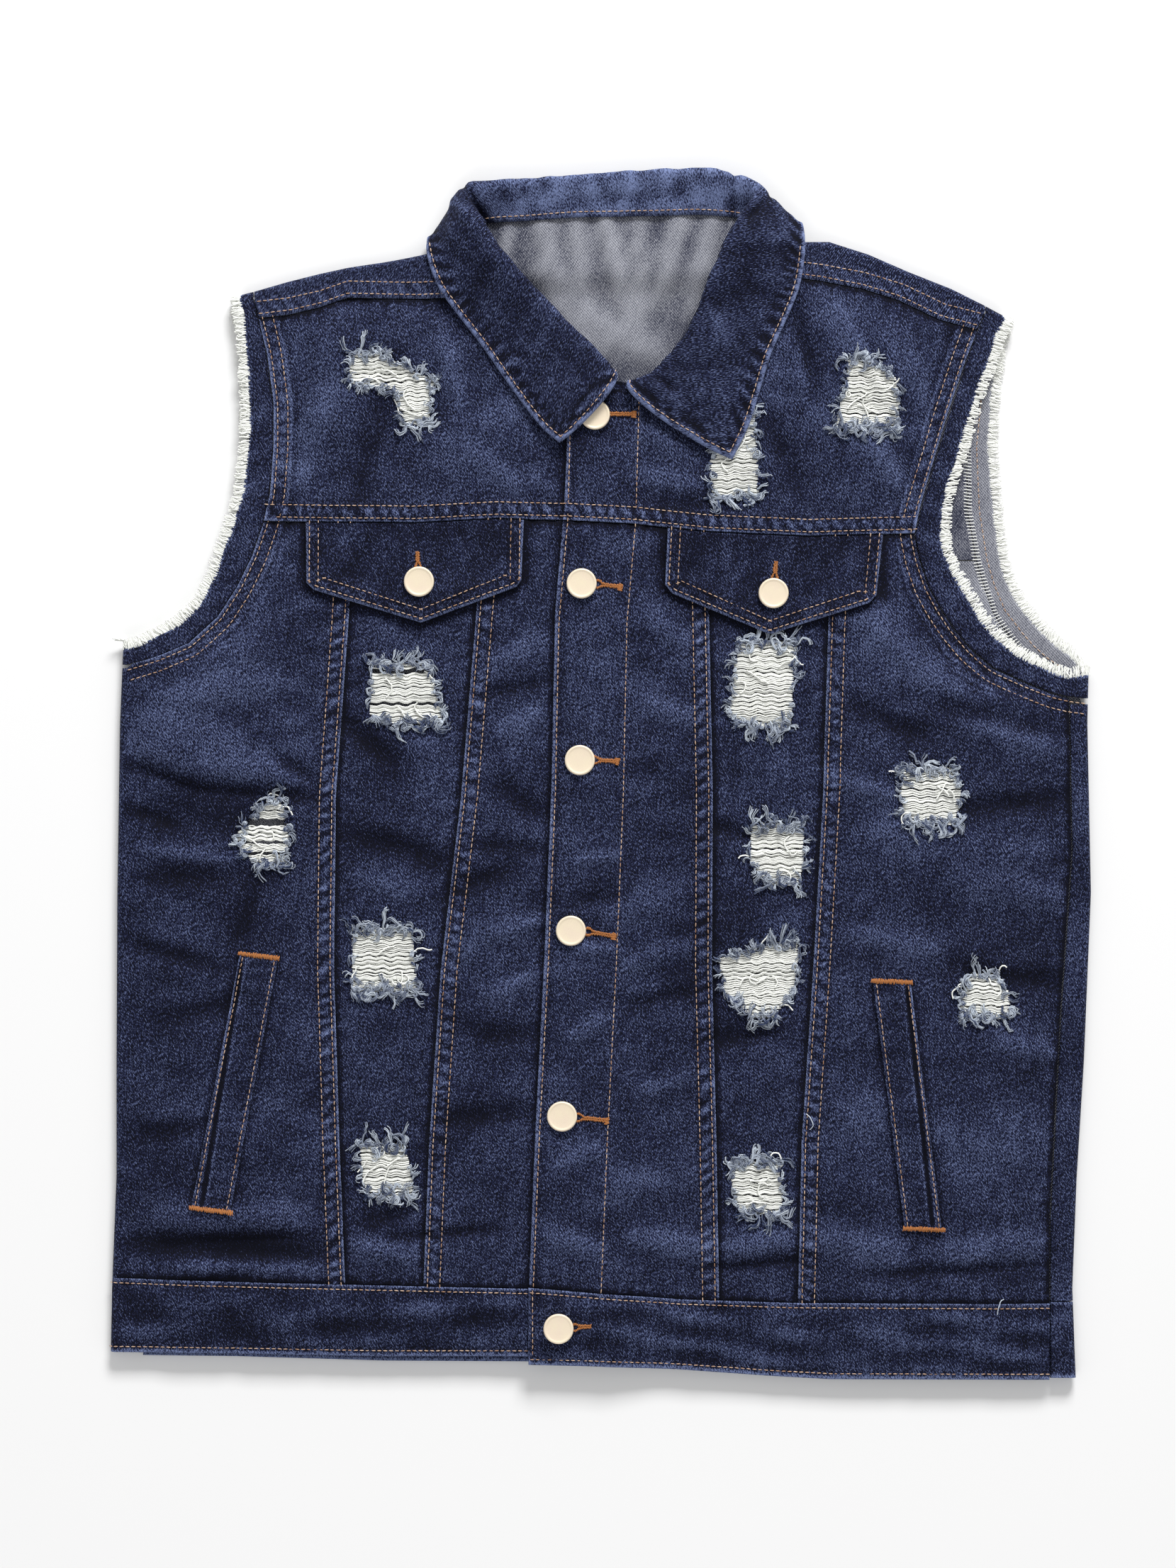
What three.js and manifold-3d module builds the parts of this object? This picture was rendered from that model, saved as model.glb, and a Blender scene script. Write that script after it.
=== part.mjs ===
// A sleeveless denim vest, buttoned and laid flat with its front up. Millimetres: X runs to the
// right, Y towards the collar, Z up from the surface that it lies on.

import * as THREE from 'three';
import Module from 'manifold-3d';
import { mergeVertices } from 'three/addons/utils/BufferGeometryUtils.js';

// Driving dimensions
const CLOTH = 1.5;
const SEAM_GAP = 0.35;
const ARMHOLE_GAP = 0.55;
const EDGE_RADIUS = 3;
const PUFF = 4.5;
const PUFF_RUN = 45;
const FOLD_RUN = 14;
const BAND = 9.5;
const BAND_RISE = 0.7;
const LAP = 2.35;
const LAP_WIDTH = 36;
const LAP_FADE = 26;
const UNDER_REACH = 13;
const UNDER_GAP = 1.2;
const WELT_SEAT = 0.9;
const WAIST_WALL = 2.2;
const WAIST_RISE = 0.7;
const WAIST_LAP = 2.7;
const FLAP_WALL = 2;
const WELT_WALL = 1.4;
const COLLAR_WALL = 2.2;
// The collar's fall lies under the back yoke and holds the shoulders up there
const YOKE_LIFT = 3.2;
const UNDER_COLLAR = { middleX: 9, reach: 104, fade: 22, backY: 268, backRun: 16, frontY: 262, frontRun: 20 };
const UNDERARM_Y = 75;
const BACK_LEAN_RUN = 310;
const BUTTON = { radius: 8.5, shank: 1.8, hole: 2.3, seat: 0.3 };
const FRINGE = { strands: 30, length: 5.5, width: 0.75, strip: 2.6, wall: 1.1 };
const THREAD = { pitch: 4.2, wall: 0.9, wave: 0.35, clear: 0.5, sunk: 0.3 };
// Middle of the outline, which is placed at the origin
const MIDDLE = { x: -0.09, y: -0.9 };

// Outline of the body below the armholes
const sides = [
  { y: -345, left: -277.5, right: 268.5 },
  { y: -292, left: -276.5, right: 266.5 },
  { y: -228, left: -274, right: 269 },
  { y: -164, left: -274, right: 273 },
  { y: -68, left: -273.5, right: 277 },
  { y: 28, left: -272, right: 275 },
  { y: 75, left: -270, right: 276 },
];

// The waist seam and the hem, which the waistband lies between
const waist = [
  { x: -290, left: -285, right: -286, back: -284 },
  { x: -177, left: -288, right: -286, back: -286 },
  { x: -43, left: -291, right: -290, back: -289 },
  { x: 5, left: -292, right: -294, back: -292 },
  { x: 46, left: -292, right: -297, back: -295 },
  { x: 107, left: -292, right: -299, back: -297 },
  { x: 290, left: -292, right: -300, back: -299 },
];
const hem = [
  { x: -290, left: -327, right: -334, back: -329 },
  { x: -207, left: -328, right: -334, back: -330 },
  { x: -123, left: -329.5, right: -334, back: -332.5 },
  { x: -43, left: -329.5, right: -334, back: -333 },
  { x: -3, left: -330, right: -335, back: -334 },
  { x: 45, left: -330, right: -337, back: -336 },
  { x: 93, left: -330, right: -340.5, back: -339 },
  { x: 129, left: -330, right: -342.5, back: -341 },
  { x: 290, left: -330, right: -343, back: -342 },
];

// The seams that run across and down the front
const yokeSeam = [
  { x: -195, y: 142 },
  { x: -152, y: 141 },
  { x: -105, y: 140.5 },
  { x: -59, y: 143 },
  { x: -20, y: 142 },
  { x: 18, y: 140 },
  { x: 61, y: 135.5 },
  { x: 118, y: 133 },
  { x: 180, y: 135 },
];
const downSeams = [
  { y: -345, sideLeft: -144, centreLeft: -100.5, placket: -40, centreRight: 67, sideRight: 111 },
  { y: -292, sideLeft: -144, centreLeft: -100.5, placket: -40.5, centreRight: 66.5, sideRight: 111 },
  { y: -206, sideLeft: -147.5, centreLeft: -97, placket: -37, centreRight: 65, sideRight: 113 },
  { y: -109, sideLeft: -150.5, centreLeft: -90.5, placket: -32, centreRight: 62.5, sideRight: 119.5 },
  { y: -12, sideLeft: -149.5, centreLeft: -79, placket: -28, centreRight: 63, sideRight: 125 },
  { y: 84, sideLeft: -142.5, centreLeft: -71, placket: -26, centreRight: 61, sideRight: 128 },
  { y: 142, sideLeft: -139, centreLeft: -66, placket: -21, centreRight: 60, sideRight: 130 },
  { y: 216, sideLeft: -139, centreLeft: -66, placket: -19, centreRight: 60, sideRight: 130 },
];
const sideSeam = [
  { y: -345, x: 253.5 },
  { y: -248, x: 253.5 },
  { y: -136, x: 259.5 },
  { y: -44, x: 266 },
  { y: 42.5, x: 264.5 },
];

// The armhole seams, and the raw edge of the strip of sleeve outside them
const armFrontLeft = [
  { y: 60.5, x: -267, rawX: -267, rawY: 70 },
  { y: 65.5, x: -250.5, rawX: -259, rawY: 73 },
  { y: 73, x: -233, rawX: -241, rawY: 81.5 },
  { y: 88, x: -216.5, rawX: -226, rawY: 95 },
  { y: 105, x: -205.5, rawX: -218, rawY: 111.5 },
  { y: 122.5, x: -197, rawX: -211.5, rawY: 130 },
  { y: 141.5, x: -190.5, rawX: -207, rawY: 143 },
  { y: 157, x: -187, rawX: -202.5, rawY: 157 },
  { y: 184.5, x: -185, rawX: -199, rawY: 184.5 },
  { y: 208, x: -185, rawX: -198.5, rawY: 208 },
  { y: 235, x: -188.5, rawX: -200, rawY: 235 },
  { y: 256.5, x: -193.5, rawX: -202, rawY: 256 },
];
const armFrontRight = [
  { y: 41.5, x: 272.5, rawX: 272.5, rawY: 55 },
  { y: 42.5, x: 264.5, rawX: 265, rawY: 53.5 },
  { y: 45, x: 254, rawX: 255, rawY: 56.5 },
  { y: 51.5, x: 238, rawX: 243, rawY: 62 },
  { y: 59, x: 221.5, rawX: 231.5, rawY: 68.5 },
  { y: 69.5, x: 209, rawX: 221, rawY: 77.5 },
  { y: 81.5, x: 199, rawX: 212, rawY: 89.5 },
  { y: 93, x: 191.5, rawX: 205, rawY: 102 },
  { y: 105, x: 185, rawX: 198.5, rawY: 113 },
  { y: 120, x: 180, rawX: 193.5, rawY: 124 },
  { y: 134.5, x: 177, rawX: 192, rawY: 134.5 },
  { y: 147.5, x: 180, rawX: 192.5, rawY: 148 },
  { y: 161, x: 184, rawX: 196, rawY: 163 },
  { y: 177.5, x: 189, rawX: 201, rawY: 178 },
  { y: 198, x: 195, rawX: 206, rawY: 195 },
  { y: 216.5, x: 201, rawX: 212, rawY: 215 },
  { y: 232, x: 206, rawX: 217.5, rawY: 229 },
  { y: 250, x: 212.5, rawX: 223.5, rawY: 247 },
];
const armBackLeft = [
  { y: 60, x: -256, rawX: -262, rawY: 70 },
  { y: 65.5, x: -247, rawX: -255, rawY: 75 },
  { y: 74, x: -231, rawX: -240, rawY: 83 },
  { y: 89, x: -215, rawX: -225, rawY: 96 },
  { y: 105, x: -204.5, rawX: -216, rawY: 112 },
  { y: 120, x: -197, rawX: -210, rawY: 126 },
  { y: 148, x: -188, rawX: -203, rawY: 149 },
  { y: 184.5, x: -185, rawX: -199, rawY: 184.5 },
  { y: 220, x: -186.5, rawX: -199, rawY: 220 },
  { y: 248, x: -191, rawX: -201, rawY: 248 },
  { y: 266, x: -195.5, rawX: -205, rawY: 263.5 },
];
const armBackRight = [
  { y: 41.5, x: 271.8, rawX: 271.8, rawY: 58 },
  { y: 48, x: 264.5, rawX: 267, rawY: 64.5 },
  { y: 58, x: 249, rawX: 256, rawY: 73 },
  { y: 65.5, x: 240.5, rawX: 250, rawY: 78.5 },
  { y: 74, x: 233, rawX: 245, rawY: 84 },
  { y: 89, x: 222, rawX: 236, rawY: 95 },
  { y: 105, x: 216.5, rawX: 229, rawY: 108 },
  { y: 120, x: 212, rawX: 225.5, rawY: 121 },
  { y: 148, x: 207, rawX: 222, rawY: 148 },
  { y: 184.5, x: 206.5, rawX: 219, rawY: 184.5 },
  { y: 220, x: 211, rawX: 221, rawY: 217 },
  { y: 248, x: 215, rawX: 225, rawY: 242 },
  { y: 261, x: 217, rawX: 227.5, rawY: 255 },
];

// Shoulders: the seam that shows on the front, and the fold line where the shoulder turns over
const shoulders = [
  { seamX: -193.5, seamY: 256.5, foldX: -196, foldY: 272 },
  { seamX: -176, seamY: 258.5, foldX: -177, foldY: 277.5 },
  { seamX: -158.5, seamY: 262.5, foldX: -159, foldY: 282 },
  { seamX: -143, seamY: 268, foldX: -143, foldY: 285.5 },
  { seamX: -123, seamY: 267.5, foldX: -123, foldY: 288.5 },
  { seamX: -103, seamY: 267, foldX: -103, foldY: 292 },
  { seamX: -78, seamY: 268, foldX: -88, foldY: 295 },
  { seamX: -54, seamY: 269.5, foldX: -76, foldY: 299 },
  { neck: true, foldX: -66, foldY: 312 },
  { neck: true, foldX: -43, foldY: 313.5 },
  { neck: true, foldX: -17, foldY: 315.5 },
  { neck: true, foldX: 9, foldY: 316 },
  { neck: true, foldX: 33, foldY: 316.5 },
  { neck: true, foldX: 57, foldY: 317 },
  { neck: true, foldX: 80, foldY: 315 },
  { seamX: 82, seamY: 281, foldX: 97, foldY: 301 },
  { seamX: 103, seamY: 279.5, foldX: 111, foldY: 299.5 },
  { seamX: 125, seamY: 277, foldX: 129, foldY: 300 },
  { seamX: 147, seamY: 273, foldX: 151, foldY: 293 },
  { seamX: 168, seamY: 266.5, foldX: 174, foldY: 283 },
  { seamX: 191, seamY: 255.5, foldX: 198, foldY: 273.5 },
  { seamX: 212.5, seamY: 250, foldX: 217, foldY: 264 },
];
const neckLeft = [
  { x: -193.5, y: 256.5 },
  { x: -176, y: 258.5 },
  { x: -158.5, y: 262.5 },
  { x: -143, y: 268 },
  { x: -103, y: 267 },
  { x: -78, y: 268 },
  { x: -54, y: 269.5 },
  { x: -41, y: 265 },
  { x: -22, y: 247.5 },
  { x: -6, y: 234 },
  { x: 5, y: 222 },
  { x: 17, y: 219.5 },
];
const neckRight = [
  { x: -19, y: 215.5 },
  { x: 15, y: 216.5 },
  { x: 31, y: 223 },
  { x: 42, y: 231 },
  { x: 54, y: 244.5 },
  { x: 64, y: 259 },
  { x: 72, y: 272.5 },
  { x: 82, y: 281 },
  { x: 103, y: 279.5 },
  { x: 125, y: 277 },
  { x: 147, y: 273 },
  { x: 168, y: 266.5 },
  { x: 191, y: 255.5 },
  { x: 212.5, y: 250 },
];

// Soft folds of the upper layer: a ridge where rise is over 0, a trough where it is under
const folds = [
  { fromX: -262, fromY: 12, toX: -165, toY: -6, width: 12, rise: 4.2 },
  { fromX: -255, fromY: -22, toX: -170, toY: -30, width: 12, rise: -2.6 },
  { fromX: -106, fromY: 258, toX: -118, toY: 205, width: 9, rise: 2.6 },
  { fromX: -150, fromY: 250, toX: -160, toY: 190, width: 11, rise: 2 },
  { fromX: 120, fromY: 262, toX: 145, toY: 200, width: 10, rise: 2.8 },
  { fromX: 160, fromY: 250, toX: 172, toY: 190, width: 9, rise: 2.2 },
  { fromX: 95, fromY: 250, toX: 100, toY: 190, width: 11, rise: 1.8 },
  { fromX: 0, fromY: -80, toX: 56, toY: -66, width: 10, rise: 2.2 },
  { fromX: -84, fromY: -100, toX: -45, toY: -84, width: 10, rise: 2 },
  { fromX: 150, fromY: -30, toX: 245, toY: -50, width: 13, rise: 2.6 },
  { fromX: 140, fromY: 95, toX: 205, toY: 40, width: 11, rise: 2.4 },
  { fromX: -200, fromY: 80, toX: -225, toY: 30, width: 12, rise: 2 },
  { fromX: -40, fromY: 205, toX: -100, toY: 178, width: 13, rise: 1.6 },
  { fromX: 130, fromY: -190, toX: 250, toY: -215, width: 15, rise: 1.8 },
  { fromX: -255, fromY: -190, toX: -180, toY: -210, width: 14, rise: 1.6 },
  { fromX: -5, fromY: -235, toX: 60, toY: -228, width: 12, rise: 1.7 },
];

// Rips, from the bottom row of each up
const rips = [
  [{ y: 196, left: -110, right: -97 }, { y: 216, left: -117, right: -96 },
    { y: 220, left: -142, right: -93 }, { y: 237, left: -141, right: -128 }],
  [{ y: 194, left: 132, right: 167 }, { y: 211, left: 136, right: 168 },
    { y: 222, left: 139, right: 166 }, { y: 233, left: 139, right: 151 }],
  [{ y: 154, left: 63, right: 88 }, { y: 176, left: 62, right: 88 }, { y: 203, left: 75, right: 86 }],
  [{ y: 27, left: -114, right: -90 }, { y: 33, left: -130, right: -90 }, { y: 62, left: -129, right: -98 }],
  [{ y: 26, left: 84, right: 106 }, { y: 33, left: 72, right: 107 }, { y: 74.5, left: 78, right: 110 }],
  [{ y: -53, left: -193, right: -178 }, { y: -37, left: -208, right: -176 },
    { y: -15, left: -186, right: -180 }],
  [{ y: -29, left: 172, right: 200 }, { y: -12, left: 169, right: 203 }, { y: 3, left: 171, right: 198 }],
  [{ y: -63, left: 94, right: 111 }, { y: -50, left: 84, right: 114 }, { y: -29, left: 85, right: 114 }],
  [{ y: -124, left: -140, right: -104 }, { y: -88, left: -140, right: -107 }],
  [{ y: -138, left: 85, right: 97 }, { y: -122, left: 69, right: 109 }, { y: -105, left: 67, right: 111 },
    { y: -96, left: 98, right: 111 }],
  [{ y: -138, left: 202, right: 230 }, { y: -125, left: 204, right: 230 },
    { y: -113, left: 208, right: 221 }],
  [{ y: -239, left: -130, right: -106 }, { y: -231, left: -134, right: -106 },
    { y: -209, left: -136, right: -111 }],
  [{ y: -249, left: 80, right: 102 }, { y: -240, left: 75, right: 102 }, { y: -219, left: 73, right: 100 }],
];

// What lies on the panels
const flaps = {
  left: { top: [-166.5, -43.5], bottom: [-166, -45], side: 'left', point: [
    { x: -166.5, y: 107.5 }, { x: -162, y: 103 }, { x: -101.5, y: 84.5 }, { x: -48, y: 104.5 },
    { x: -44, y: 109 }] },
  right: { top: [37.5, 159], bottom: [36, 155], side: 'right', point: [
    { x: 36, y: 106 }, { x: 40, y: 101 }, { x: 95, y: 78 }, { x: 151, y: 95.5 }, { x: 156, y: 101 }] },
};
const welts = {
  left: { topY: -102, bottomY: -245, topX: [-203.5, -182], bottomX: [-231, -209], tilt: -3 },
  right: { topY: -117.5, bottomY: -257, topX: [153, 174.5], bottomX: [171, 192], tilt: -1 },
};
const placketButtons = [
  { name: 'button_1', x: -3.5, y: 201.5 },
  { name: 'button_2', x: -11, y: 106.5 },
  { name: 'button_3', x: -12, y: 7 },
  { name: 'button_4', x: -17, y: -89 },
  { name: 'button_5', x: -22, y: -193.5 },
];
const waistButton = { name: 'button_6', x: -24, y: -313 };
const flapButtons = [
  { name: 'flap_button_left', x: -102.5, y: 107.5, side: 'left' },
  { name: 'flap_button_right', x: 97, y: 101, side: 'right' },
];

// The collar, station by station from its left front end round the neck to its right front end.
// Heights are over the upper layer where layer is front, and over the surface below where it is floor.
// outward is the compass angle of the side that the roll bulges to, and turn how steeply it turns up.
const collarStations = [
  { layer: 'front', seamX: 5, seamY: 219, seamUp: 1.5, rollX: 8.5, rollY: 223, rollUp: 3.6,
    edgeX: -23.5, edgeY: 185.5, edgeUp: 6, outward: 230, turn: 85, bend: 6 },
  { layer: 'front', seamX: -7, seamY: 231, seamUp: 1.5, rollX: -3, rollY: 237, rollUp: 4,
    edgeX: -35, edgeY: 196, edgeUp: 3.5, outward: 234, turn: 80, bend: 5 },
  { layer: 'front', seamX: -23.5, seamY: 245, seamUp: 1.5, rollX: -17.5, rollY: 251, rollUp: 4.8,
    edgeX: -52, edgeY: 218.5, edgeUp: 1.8, outward: 225, turn: 75, bend: 5 },
  { layer: 'front', seamX: -42.5, seamY: 261, seamUp: 1.5, rollX: -34.5, rollY: 268.5, rollUp: 5.5,
    edgeX: -67, edgeY: 240, edgeUp: 1.8, outward: 221, turn: 70, bend: 5 },
  { layer: 'front', seamX: -61, seamY: 277, seamUp: 2.5, rollX: -52, rollY: 288, rollUp: 7,
    edgeX: -82, edgeY: 259.5, edgeUp: 2.2, outward: 218, turn: 62, bend: 6 },
  { layer: 'front', seamX: -70, seamY: 290, seamUp: 1.8, rollX: -62, rollY: 300, rollUp: 9,
    edgeX: -92, edgeY: 274, edgeUp: 2.4, outward: 215, turn: 45, bend: 7 },
  { layer: 'floor', seamX: -70, seamY: 302, seamUp: 12, rollX: -70, rollY: 313, rollUp: 18,
    edgeX: -98, edgeY: 291, edgeUp: 10, outward: 195, turn: 20, bend: 8 },
  { layer: 'floor', seamX: -66, seamY: 308, seamUp: 7.5, rollX: -76, rollY: 324, rollUp: 14,
    edgeX: -97, edgeY: 301, edgeUp: 3.6, outward: 150, turn: -30, bend: 8 },
  { layer: 'floor', seamX: -62, seamY: 310.5, seamUp: 6.5, rollX: -74, rollY: 332, rollUp: 9,
    edgeX: -88, edgeY: 292, edgeUp: 1.25, outward: 110, turn: -75, bend: 8 },
  { layer: 'floor', seamX: -43, seamY: 311.5, seamUp: 6.3, rollX: -43, rollY: 334.5, rollUp: 7,
    edgeX: -50, edgeY: 290.5, edgeUp: 1.2, outward: 95, turn: -90, bend: 5.8 },
  { layer: 'floor', seamX: -17, seamY: 313.5, seamUp: 6.3, rollX: -16, rollY: 336.5, rollUp: 6.6,
    edgeX: -18, edgeY: 290.5, edgeUp: 1.2, outward: 92, turn: -90, bend: 5.4 },
  { layer: 'floor', seamX: 9, seamY: 314, seamUp: 6.3, rollX: 9, rollY: 338, rollUp: 6.6,
    edgeX: 9, edgeY: 291, edgeUp: 1.2, outward: 90, turn: -90, bend: 5.4 },
  { layer: 'floor', seamX: 33, seamY: 314.5, seamUp: 6.3, rollX: 35, rollY: 339.5, rollUp: 6.6,
    edgeX: 38, edgeY: 291.5, edgeUp: 1.2, outward: 88, turn: -90, bend: 5.4 },
  { layer: 'floor', seamX: 57, seamY: 315, seamUp: 6.3, rollX: 62, rollY: 340, rollUp: 7,
    edgeX: 66, edgeY: 293.5, edgeUp: 1.2, outward: 84, turn: -90, bend: 5.8 },
  { layer: 'floor', seamX: 79, seamY: 313, seamUp: 6.5, rollX: 86, rollY: 333, rollUp: 9,
    edgeX: 104, edgeY: 296, edgeUp: 1.25, outward: 65, turn: -75, bend: 8 },
  { layer: 'floor', seamX: 87, seamY: 309, seamUp: 7.5, rollX: 88, rollY: 325, rollUp: 14,
    edgeX: 113, edgeY: 309, edgeUp: 5, outward: 30, turn: -30, bend: 8 },
  { layer: 'floor', seamX: 89, seamY: 302, seamUp: 12, rollX: 80, rollY: 313, rollUp: 18,
    edgeX: 115, edgeY: 298, edgeUp: 11, outward: 345, turn: 20, bend: 8 },
  { layer: 'front', seamX: 83, seamY: 290, seamUp: 1.8, rollX: 71.5, rollY: 299, rollUp: 9,
    edgeX: 114, edgeY: 285, edgeUp: 2, outward: 345, turn: 45, bend: 7 },
  { layer: 'front', seamX: 74.5, seamY: 274.5, seamUp: 1.5, rollX: 62.5, rollY: 279, rollUp: 7,
    edgeX: 111, edgeY: 271, edgeUp: 1.8, outward: 350, turn: 62, bend: 6 },
  { layer: 'front', seamX: 65.5, seamY: 258, seamUp: 1.5, rollX: 54.5, rollY: 260, rollUp: 5.5,
    edgeX: 103.5, edgeY: 253, edgeUp: 1.8, outward: 351, turn: 70, bend: 5 },
  { layer: 'front', seamX: 55, seamY: 242.5, seamUp: 1.5, rollX: 46.5, rollY: 244.5, rollUp: 4.8,
    edgeX: 95.5, edgeY: 235, edgeUp: 1.8, outward: 350, turn: 75, bend: 5 },
  { layer: 'front', seamX: 43.5, seamY: 229, seamUp: 1.5, rollX: 36.5, rollY: 232, rollUp: 4.2,
    edgeX: 89, edgeY: 213.5, edgeUp: 1.8, outward: 341, turn: 78, bend: 5 },
  { layer: 'front', seamX: 32.5, seamY: 220.8, seamUp: 1.5, rollX: 27, rollY: 223.5, rollUp: 3.8,
    edgeX: 83, edgeY: 195, edgeUp: 1.8, outward: 333, turn: 80, bend: 5 },
  { layer: 'front', seamX: 20, seamY: 215.5, seamUp: 1.5, rollX: 14.5, rollY: 219, rollUp: 3.5,
    edgeX: 74, edgeY: 176.5, edgeUp: 1.8, outward: 324, turn: 85, bend: 5 },
];

// Rows shared by neighbouring panels, so that their seams meet all along
const LEFT_ROWS = [-286, -248, -210, -170, -130, -95, -60, -25, 10, 38, 60, 60.5, 65.5, 73, 88, 105,
  122.5, 141.5];
const RIGHT_ROWS = [-297, -258, -218, -178, -138, -98, -62, -26, 8, 36, 42.5, 45, 51.5, 59, 69.5, 81.5,
  93, 105, 120, 134.5];
const BACK_ROWS = [-292, -245, -200, -155, -110, -65, -20, 22, 41.5, 48, 60, 65.5, 74, 89, 105, 120];
const YOKE_ROWS = [120, 148, 184.5, 220, 248];

const wasm = await Module();
wasm.setup();

function read(rows, key, column, at) {
  let i = 1;
  while (i < rows.length - 1 && at > rows[i][key]) i += 1;
  const low = rows[i - 1];
  const high = rows[i];
  const share = THREE.MathUtils.clamp((at - low[key]) / (high[key] - low[key]), 0, 1);
  return THREE.MathUtils.lerp(low[column], high[column], share);
}

function ease(share) {
  return THREE.MathUtils.smoothstep(share, 0, 1);
}

// A steady number between -1 and 1 that looks random
function scatter(index, salt) {
  const value = Math.sin(index * 12.9898 + salt * 78.233) * 43758.5453;
  return 2 * (value - Math.floor(value)) - 1;
}

const outlineLeft = [
  ...sides.filter((row) => row.y < 60).map((row) => ({ y: row.y, x: row.left })),
  ...armFrontLeft];
const outlineRight = [
  ...sides.filter((row) => row.y < 40).map((row) => ({ y: row.y, x: row.right })),
  ...armFrontRight];

// How far a place is from the outline, as a share that is 0 on it and 1 well inside
function inland(x, y, run) {
  const fromLeft = (x - EDGE_RADIUS - read(outlineLeft, 'y', 'x', y)) / run;
  const fromRight = (read(outlineRight, 'y', 'x', y) - EDGE_RADIUS - x) / run;
  const fromTop = (read(shoulders, 'foldX', 'foldY', x) - 4 - y) / run;
  const fromHem = (y - read(hem, 'x', 'back', x) + 8) / run;
  return ease(fromLeft) * ease(fromRight) * ease(fromTop) * ease(fromHem);
}

// How far the shoulders are held up by the collar's fall, which lies under the back yoke
function overCollar(x) {
  const beyond = Math.abs(x - UNDER_COLLAR.middleX) - UNDER_COLLAR.reach;
  return YOKE_LIFT * (1 - ease(beyond / UNDER_COLLAR.fade));
}

// Height of the upper layer's outer face over the surface
function frontHeight(x, y) {
  let folded = 0;
  for (const fold of folds) {
    const alongX = fold.toX - fold.fromX;
    const alongY = fold.toY - fold.fromY;
    const reach = alongX * alongX + alongY * alongY;
    const share = ((x - fold.fromX) * alongX + (y - fold.fromY) * alongY) / reach;
    const off = Math.hypot(x - fold.fromX - share * alongX, y - fold.fromY - share * alongY);
    const ends = ease((share + 0.25) / 0.5) * ease((1.25 - share) / 0.5);
    folded += fold.rise * ends * Math.exp(-((off / fold.width) ** 2));
  }
  const base = 2 * EDGE_RADIUS + overCollar(x) * ease((y - UNDER_COLLAR.frontY) / UNDER_COLLAR.frontRun);
  return base + PUFF * inland(x, y, PUFF_RUN) + folded * inland(x, y, FOLD_RUN);
}

// The placket holds the right front up over the left one's button band
function placketLift(x, y) {
  const bandEnd = read(downSeams, 'y', 'placket', y) + LAP_WIDTH + 2;
  return LAP * (1 - ease((x - bandEnd) / LAP_FADE));
}

// Underside of the lower layer
function backLift(x, y) {
  return overCollar(x) * ease((y - UNDER_COLLAR.backY) / UNDER_COLLAR.backRun);
}

// A point of the upper layer at a depth below its outer face. Past a side edge the cloth turns round
// the edge and comes to lie under the garment, with x counted on along the cloth.
function layCloth(x, y, depth, lift = 0) {
  const left = read(sides, 'y', 'left', y) + EDGE_RADIUS;
  const right = read(sides, 'y', 'right', y) - EDGE_RADIUS;
  const past = y > UNDERARM_Y ? 0 : Math.max(left - x, x - right);
  if (past <= 0.001) return new THREE.Vector3(x, y, frontHeight(x, y) + lift - depth);
  const side = x < left ? -1 : 1;
  const start = side < 0 ? left : right;
  const angle = past / EDGE_RADIUS;
  const reach = EDGE_RADIUS - depth;
  if (angle < Math.PI) {
    const out = side * reach * Math.sin(angle);
    return new THREE.Vector3(start + out, y, EDGE_RADIUS + reach * Math.cos(angle));
  }
  return new THREE.Vector3(start - side * (past - Math.PI * EDGE_RADIUS), y, Math.max(depth, 0));
}

// A closed wall over a grid: pointAt gives the outer point at depth 0 and the inner one at depth 1
function clothWall(rowCount, columnCount, pointAt, has = () => true) {
  const outer = [];
  const inner = [];
  for (let i = 0; i < rowCount; i += 1) {
    for (let j = 0; j < columnCount; j += 1) {
      outer.push(pointAt(i, j, 0));
      inner.push(pointAt(i, j, 1));
    }
  }
  const faces = [];
  const edges = new Map();
  for (let i = 0; i < rowCount - 1; i += 1) {
    for (let j = 0; j < columnCount - 1; j += 1) {
      if (has(i, j)) {
        const a = i * columnCount + j;
        const corners = [a, a + 1, a + columnCount + 1, a + columnCount];
        faces.push(corners);
        corners.forEach((from, k) => {
          const to = corners[(k + 1) % 4];
          edges.set(`${from} ${to}`, [from, to]);
        });
      }
    }
  }
  const points = [];
  for (const [a, b, c, d] of faces) {
    points.push(outer[a], outer[b], outer[c], outer[a], outer[c], outer[d]);
    points.push(inner[c], inner[b], inner[a], inner[d], inner[c], inner[a]);
  }
  for (const [from, to] of edges.values()) {
    if (!edges.has(`${to} ${from}`)) {
      points.push(inner[from], inner[to], outer[to], inner[from], outer[to], outer[from]);
    }
  }
  let volume = 0;
  for (let k = 0; k < points.length; k += 3) {
    volume += points[k].dot(points[k + 1].clone().cross(points[k + 2]));
  }
  if (volume < 0) {
    for (let k = 0; k < points.length; k += 3) {
      [points[k + 1], points[k + 2]] = [points[k + 2], points[k + 1]];
    }
  }
  return new THREE.BufferGeometry().setFromPoints(points);
}

function toSolid(geometry) {
  const bare = geometry.clone();
  bare.deleteAttribute('normal');
  bare.deleteAttribute('uv');
  const merged = mergeVertices(bare, 1e-4);
  const vertProperties = new Float32Array(merged.attributes.position.array);
  const triVerts = new Uint32Array(merged.index.array);
  return new wasm.Manifold(new wasm.Mesh({ numProp: 3, vertProperties, triVerts }));
}

function toGeometry(solid) {
  const mesh = solid.getMesh();
  const geometry = new THREE.BufferGeometry();
  geometry.setAttribute('position', new THREE.BufferAttribute(new Float32Array(mesh.vertProperties), 3));
  geometry.setIndex(new THREE.BufferAttribute(new Uint32Array(mesh.triVerts), 1));
  return geometry;
}

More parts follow.
